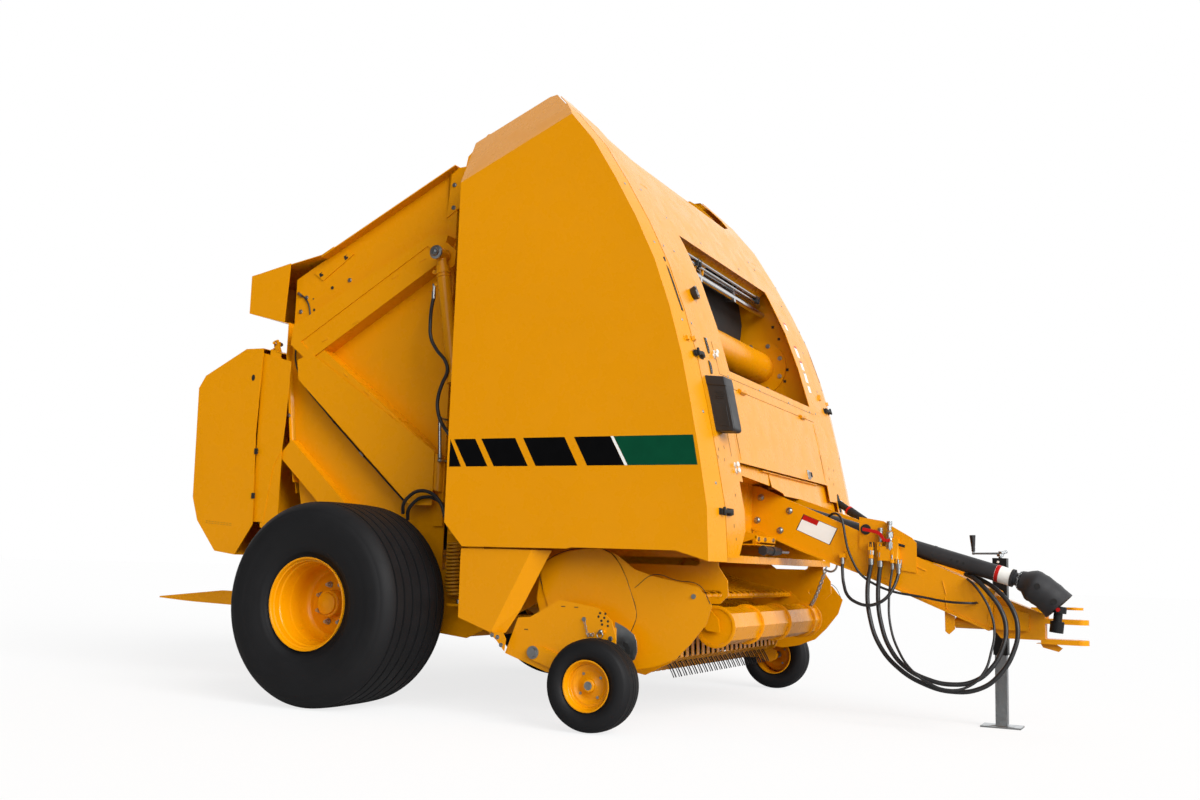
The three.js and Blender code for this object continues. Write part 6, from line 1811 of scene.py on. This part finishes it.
class BALER_OT_tongue(Maker, bpy.types.Operator):
    """Bolts, blank plate, valves, hose ends and underside brackets of the tongue"""

    bl_idname = "baler.tongue"
    bl_label = "Tongue"

    def make(self, sizes):
        face = -0.13
        bm = bmesh.new()
        for x, z in ((1.812, 1.1), (1.966, 1.032), (1.794, 0.982), (1.918, 0.931)):
            for sign in (-1, 1):
                spot = at(x, sign * 0.1302, z)
                rod(bm, spot, spot + Y * sign * 0.003, 0.0175, 32)
                dome(bm, spot + Y * sign * 0.003, (0, sign, 0), 0.0145, 0.007)
        piece("tongue_bolts", bm, "chassis", "zinc")
        corners = [Vector((2.041, 0, 1.016)), Vector((2.219, 0, 0.945)), Vector((2.179, 0, 0.861)), Vector((2.002, 0, 0.936))]
        middle_point = sum(corners, Vector()) / 4
        inside = lambda share: [at(p.x, 0, p.z) for p in (middle_point.lerp(c, share) for c in corners)]
        for name, points, y, finish in (
            ("tongue_plate_edge", inside(1.0), 0.0003, "seal"), ("tongue_plate", inside(0.955), 0.0006, "white"),
        ):
            bm = bmesh.new()
            slab(bm, [p + Y * (face - y) for p in points], -Y * 0.0004)
            piece(name, bm, "chassis", finish)
        a, b, c, d = inside(0.955)
        bm = bmesh.new()
        slab(
            bm,
            [
                p + Y * (face - 0.0009) for p in (
                    a, a.lerp(b, 0.46), d.lerp(c, 0.46).lerp(a.lerp(b, 0.46), 0.7), d.lerp(a, 0.7),
                )
            ],
            -Y * 0.0004,
        )
        piece("tongue_plate_band", bm, "chassis", "red")
        self.valves()
        self.hose_ends()
        self.underside()

    @staticmethod
    def valves():
        bm = bmesh.new()
        y = -0.158
        for x, z0, z1 in ((2.395, 0.8, 0.872), (2.44, 0.79, 0.872), (2.5, 0.78, 0.86), (2.53, 0.757, 0.8)):
            rod(bm, at(x, y, z0), at(x, y, z1), 0.0145, 32)
            rod(bm, at(x, y, z0 + 0.018), at(x, y, z0 + 0.04), 0.0172, 6)
        rod(bm, at(2.488, y, 0.842), at(2.486, y, 0.932), 0.0165, 32)
        rod(bm, at(2.487, y, 0.85), at(2.487, y, 0.88), 0.0225, 8)
        rod(bm, at(2.486, y, 0.905), at(2.486, y, 0.925), 0.0195, 6)
        bmesh.ops.create_icosphere(bm, subdivisions=3, radius=0.018, matrix=Matrix.Translation(at(2.487, y, 0.892)))
        rod(bm, at(2.487, y, 0.893), at(2.487, y - 0.03, 0.897), 0.008, 12)
        for x, z in ((2.439, 0.905), (2.484, 0.938)):
            rod(bm, at(x, y + 0.006, z), at(x, y + 0.006, z + 0.03), 0.0115, 6)
            rod(bm, at(x, y + 0.006, z + 0.03), at(x, y + 0.006, z + 0.046), 0.0135, 20)
        rod(bm, at(2.439, y + 0.006, 0.868), at(2.439, y + 0.006, 0.91), 0.009, 20)
        piece("valve_fittings", bm, "chassis", "zinc", bevel=0.0008)
        bm = bmesh.new()
        line = [(2.494, 0.897), (2.47, 0.897), (2.452, 0.925), (2.428, 0.938), (2.36, 0.951)]
        plate(bm, ribbon(line, 0.017), y - 0.032, y - 0.027)
        piece("valve_handle", bm, "chassis", "red", bevel=0.0015)
        bm = bmesh.new()
        spot = at(2.363, -0.1364, 0.943)
        rod(bm, spot, spot - Y * 0.006, 0.026, 32)
        rod(bm, at(2.525, y, 0.872), at(2.56, y, 0.862), 0.0065, 12)
        rod(bm, at(2.395, y, 0.855), at(2.395, y, 0.88), 0.0158, 24)
        piece("valve_grommet", bm, "chassis", "seal", bevel=0.002)

    @staticmethod
    def hose_ends():
        bm = bmesh.new()
        for x, y, top, radius in (
            (2.395, -0.16, 0.799, 0.0135), (2.44, -0.16, 0.789, 0.0135), (2.5, -0.16, 0.779, 0.0085),
            (2.249, -0.152, 0.799, 0.0105), (2.53, -0.16, 0.7575, 0.0105),
        ):
            rod(bm, at(x, y, top), at(x, y, top - 0.03), radius, 32)
            for k in range(3):
                rod(bm, at(x, y, top - 0.006 - 0.008 * k), at(x, y, top - 0.01 - 0.008 * k), radius + 0.0012, 32)
        piece("hose_crimps", bm, "chassis", "zinc")

    @staticmethod
    def underside():
        # Bracket and actuator under the front of the chamber.
        bm = bmesh.new()
        plate(bm, [(1.8, 0.925), (1.905, 0.895), (1.905, 0.88), (1.8, 0.85)], -0.46, -0.452)
        plate(bm, [(1.8, 0.925), (1.905, 0.895), (1.905, 0.88), (1.8, 0.85)], -0.22, -0.212)
        block(bm, at(1.895, -0.46, 0.862), at(1.903, -0.16, 0.892))
        block(bm, at(1.8, -0.46, 0.846), at(1.9, -0.16, 0.852))
        piece("front_bracket", bm, "chassis", "yellow", bevel=0.001)
        bm = bmesh.new()
        rod(bm, at(1.925, -0.4, 0.822), at(1.925, -0.17, 0.822), 0.019, 32)
        rod(bm, at(1.925, -0.4, 0.822), at(1.925, -0.43, 0.822), 0.026, 6)
        rod(bm, at(1.925, -0.3, 0.822), at(1.925, -0.24, 0.822), 0.024, 32)
        piece("front_actuator", bm, "chassis", "plastic", bevel=0.002)
        bm = bmesh.new()
        rod(bm, at(1.925, -0.17, 0.822), at(1.925, -0.02, 0.822), 0.0085, 24)
        for y in (-0.43, -0.33, -0.2):
            bolt(bm, at(1.9035, y, 0.877), (1, 0, 0), 0.01)
        piece("front_actuator_rod", bm, "chassis", "zinc")
        # Storage bracket and cross tube under the tongue.
        bm = bmesh.new()
        plate(bm, [(2.742, 0.556), (2.79, 0.535), (2.79, 0.475), (2.762, 0.448), (2.744, 0.462)], -0.122, -0.116)
        rod(bm, at(2.786, -0.075, 0.505), at(2.925, -0.075, 0.505), 0.026, 32)
        piece("tongue_storage_bracket", bm, "chassis", "yellow", bevel=0.001)
        bm = bmesh.new()
        for x0, z0, x1, z1 in (
            (2.735, 0.7, 2.75, 0.64), (2.745, 0.62, 2.755, 0.57), (2.955, 0.64, 2.95, 0.59), (2.948, 0.57, 2.945, 0.52),
            (2.6, 0.772, 2.655, 0.748),
        ):
            weld_bead(bm, at(x0, -0.1305, z0), at(x1, -0.1305, z1), 0.003)
        piece("tongue_welds", bm, "chassis", "yellow")


class BALER_OT_driveline(Maker, bpy.types.Operator):
    """Driveline guard with its cone, label sleeve, chain and yoke cross"""

    bl_idname = "baler.driveline"
    bl_label = "Driveline"

    REAR, FRONT = (2.0, 0, 1.022), (3.065, -0.135, 0.724)
    ELBOW, MOUTH = (3.184, -0.135, 0.69), (3.263, -0.135, 0.602)

    def make(self, sizes):
        rear, front, elbow, mouth = (at(*p) for p in (self.REAR, self.FRONT, self.ELBOW, self.MOUTH))
        way = (front - rear).normalized()
        bm = bmesh.new()
        for start, end, radius in (
            (rear + way * 0.001, front, 0.0398), (front, front + way * 0.045, 0.031),
            (front - way * 0.4, front - way * 0.39, 0.0412), (front - way * 0.012, front, 0.0425),
        ):
            rod(bm, start, end, radius, 48)
        cone = [front + way * 0.03]
        shape = [0.046]
        for k in range(1, 13):
            t = k / 12
            cone.append((front + way * 0.034) * (1 - t) ** 2 + elbow * 2 * t * (1 - t) + mouth * t * t)
            shape.append((0.05, 0.062, 0.073, 0.0765, 0.0745, 0.0765, 0.0745, 0.074, 0.0765, 0.075, 0.077, 0.0795)[k - 1])
        loft(bm, cone, shape)
        loft(bm, cone[::-1], [r - 0.004 for r in shape[::-1]])
        open_edges = [e for e in bm.edges if e.is_boundary]
        ends = [e for e in open_edges if (e.verts[0].co - cone[-1]).length < 0.09]
        starts = [e for e in open_edges if (e.verts[0].co - cone[0]).length < 0.06]
        bmesh.ops.bridge_loops(bm, edges=ends)
        bmesh.ops.bridge_loops(bm, edges=starts)
        made = piece("driveline_guard_cone", bm, "chassis", "guard")
        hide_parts("driveline_guard")
        bm = bmesh.new()
        block(bm, at(1.777, -0.1, 0.965), at(1.9, 0.1, 1.085))
        rod(bm, rear - way * 0.11, rear - way * 0.001, 0.036, 32)
        made = piece("gearbox_case", bm, "chassis", "black", bevel=0.004)
        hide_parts("gearbox")
        bm = bmesh.new()
        rod(bm, front - way * 0.085, front - way * 0.008, 0.0404, 48)
        piece("guard_label", bm, "chassis", "white")
        bm = bmesh.new()
        rod(bm, front - way * 0.084, front - way * 0.066, 0.0408, 48)
        piece("guard_label_band", bm, "chassis", "red")
        # Holes in the guard drawn as dark discs: painted shade in the openings.
        bm = bmesh.new()
        for x, z in ((3.176, 0.691), (3.248, 0.624)):
            spot = at(x, -0.135 - 0.0745, z)
            rod(bm, spot - Y * 0.0045, spot + Y * 0.012, 0.0145, 24)
        for k in range(3):
            spot = front - way * (0.3 - 0.03 * k) - Y * 0.0405
            rod(bm, spot - Y * 0.0004, spot + Y * 0.003, 0.006, 16)
        piece("guard_holes", bm, "chassis", "seal")
        links = []
        ring = aim(front + way * 0.026, way)
        for k in range(22):
            a = math.tau * k / 22
            centre = ring @ Vector((0.0385 * math.cos(a), 0.0385 * math.sin(a), 0))
            along = ring.to_3x3() @ Vector((-math.sin(a), math.cos(a), 0))
            wide = (centre - (front + way * 0.026)).normalized() if k % 2 else way
            links.append(
                [
                    centre + along * 0.0072 * math.cos(b) + wide * 0.0038 * math.sin(b) for b in (
                        math.tau * n / 6 for n in range(6)
                    )
                ]
            )
        wires("guard_chain", links, 0.0014, "chassis", "zinc", sides=0, cyclic=True)
        bm = bmesh.new()
        cross = at(3.2605, -0.135, 0.588)
        for side in (-1, 1):
            rod(bm, cross, cross + Y * side * 0.015, 0.007, 20)
        piece("yoke_cross", bm, "driveline_yoke", "zinc")
        bm = bmesh.new()
        rod(bm, cross - Y * 0.033, cross - Y * 0.037, 0.0095, 20)
        piece("yoke_cap", bm, "driveline_yoke", "red")


class BALER_OT_jack(Maker, bpy.types.Operator):
    """Jack crank with its grip, and the jack's bolts"""

    bl_idname = "baler.jack"
    bl_label = "Jack"

    def make(self, sizes):
        x, y, top = 2.958, 0.192, 0.822
        bm = bmesh.new()
        rod(bm, at(x, y, top + 0.0004), at(x, y, top + 0.034), 0.009, 24)
        rod(bm, at(x, y, top + 0.008), at(x, y, top + 0.02), 0.018, 6)
        plate(
            bm, [(x + 0.018, top + 0.018), (x + 0.018, top + 0.029), (x - 0.136, top + 0.024), (x - 0.136, top + 0.015)],
            y - 0.008, y + 0.008,
        )
        rod(bm, at(x + 0.004, y - 0.012, top + 0.024), at(x + 0.03, y + 0.01, top + 0.033), 0.008, 6)
        rod(bm, at(x - 0.128, y, top + 0.014), at(x - 0.13, y, top + 0.034), 0.0065, 16)
        made = piece("jack_crank_arm", bm, "chassis", "zinc", bevel=0.0008)
        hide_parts("jack_crank")
        bm = bmesh.new()
        revolve(bm, [
            (0, 0), (0, 0.0085), (0.006, 0.0095), (0.01, 0.0085), (0.014, 0.01), (0.018, 0.009), (0.03, 0.0105),
            (0.075, 0.0145), (0.082, 0.0148), (0.082, 0.0),
        ],
                at(x - 0.13, y, top + 0.03), Vector((-0.05, 0, 1)), 32)
        piece("jack_grip", bm, "chassis", "plastic")
        bm = bmesh.new()
        rod(bm, at(2.952, y - 0.034, 0.803), at(2.952, y - 0.038, 0.803), 0.006, 16)
        piece("jack_pin", bm, "chassis", "knob")
        bm = bmesh.new()
        for z in (0.535, 0.6):
            bolt(bm, at(2.915, 0.139, z), (0, 1, 0), 0.01)
        piece("jack_bolts", bm, "chassis", "zinc")


# ---------------------------------------------------------------- sidebar and run
STEPS = (
    BALER_OT_stage,
    BALER_OT_hoses,
    BALER_OT_sheets,
    BALER_OT_main_wheels,
    BALER_OT_gauge_wheels,
    BALER_OT_shields,
    BALER_OT_front,
    BALER_OT_door,
    BALER_OT_tailgate,
    BALER_OT_net_box,
    BALER_OT_springs,
    BALER_OT_pickup_sides,
    BALER_OT_reel,
    BALER_OT_pickup_front,
    BALER_OT_tongue,
    BALER_OT_driveline,
    BALER_OT_jack,
)


class BALER_PT_panel(bpy.types.Panel):
    """Sizes and pieces of the baler"""

    bl_label = "Round Baler"
    bl_space_type = "VIEW_3D"
    bl_region_type = "UI"
    bl_category = "Baler"

    def draw(self, context):
        layout = self.layout
        for group in (context.scene.baler_colours, context.scene.baler_sizes, context.scene.baler_light):
            box = layout.box()
            for key in group.bl_rna.properties.keys():
                if key not in {"rna_type", "name"}:
                    box.prop(group, key)
        column = layout.column(align=True)
        for step in STEPS:
            column.operator(step.bl_idname)


CLASSES = (BalerColours, BalerSizes, StageLight, *STEPS, BALER_PT_panel)


def register():
    for each in CLASSES:
        bpy.utils.register_class(each)
    bpy.types.Scene.baler_colours = PointerProperty(type=BalerColours)
    bpy.types.Scene.baler_sizes = PointerProperty(type=BalerSizes)
    bpy.types.Scene.baler_light = PointerProperty(type=StageLight)


def unregister():
    del bpy.types.Scene.baler_light
    del bpy.types.Scene.baler_sizes
    del bpy.types.Scene.baler_colours
    for each in reversed(CLASSES):
        bpy.utils.unregister_class(each)


def main():
    register()
    make_materials(bpy.context.scene.baler_colours)
    for step in STEPS:
        group, call = step.bl_idname.split(".")
        getattr(getattr(bpy.ops, group), call)()
    bpy.context.view_layer.update()


if __name__ == "__main__":
    main()
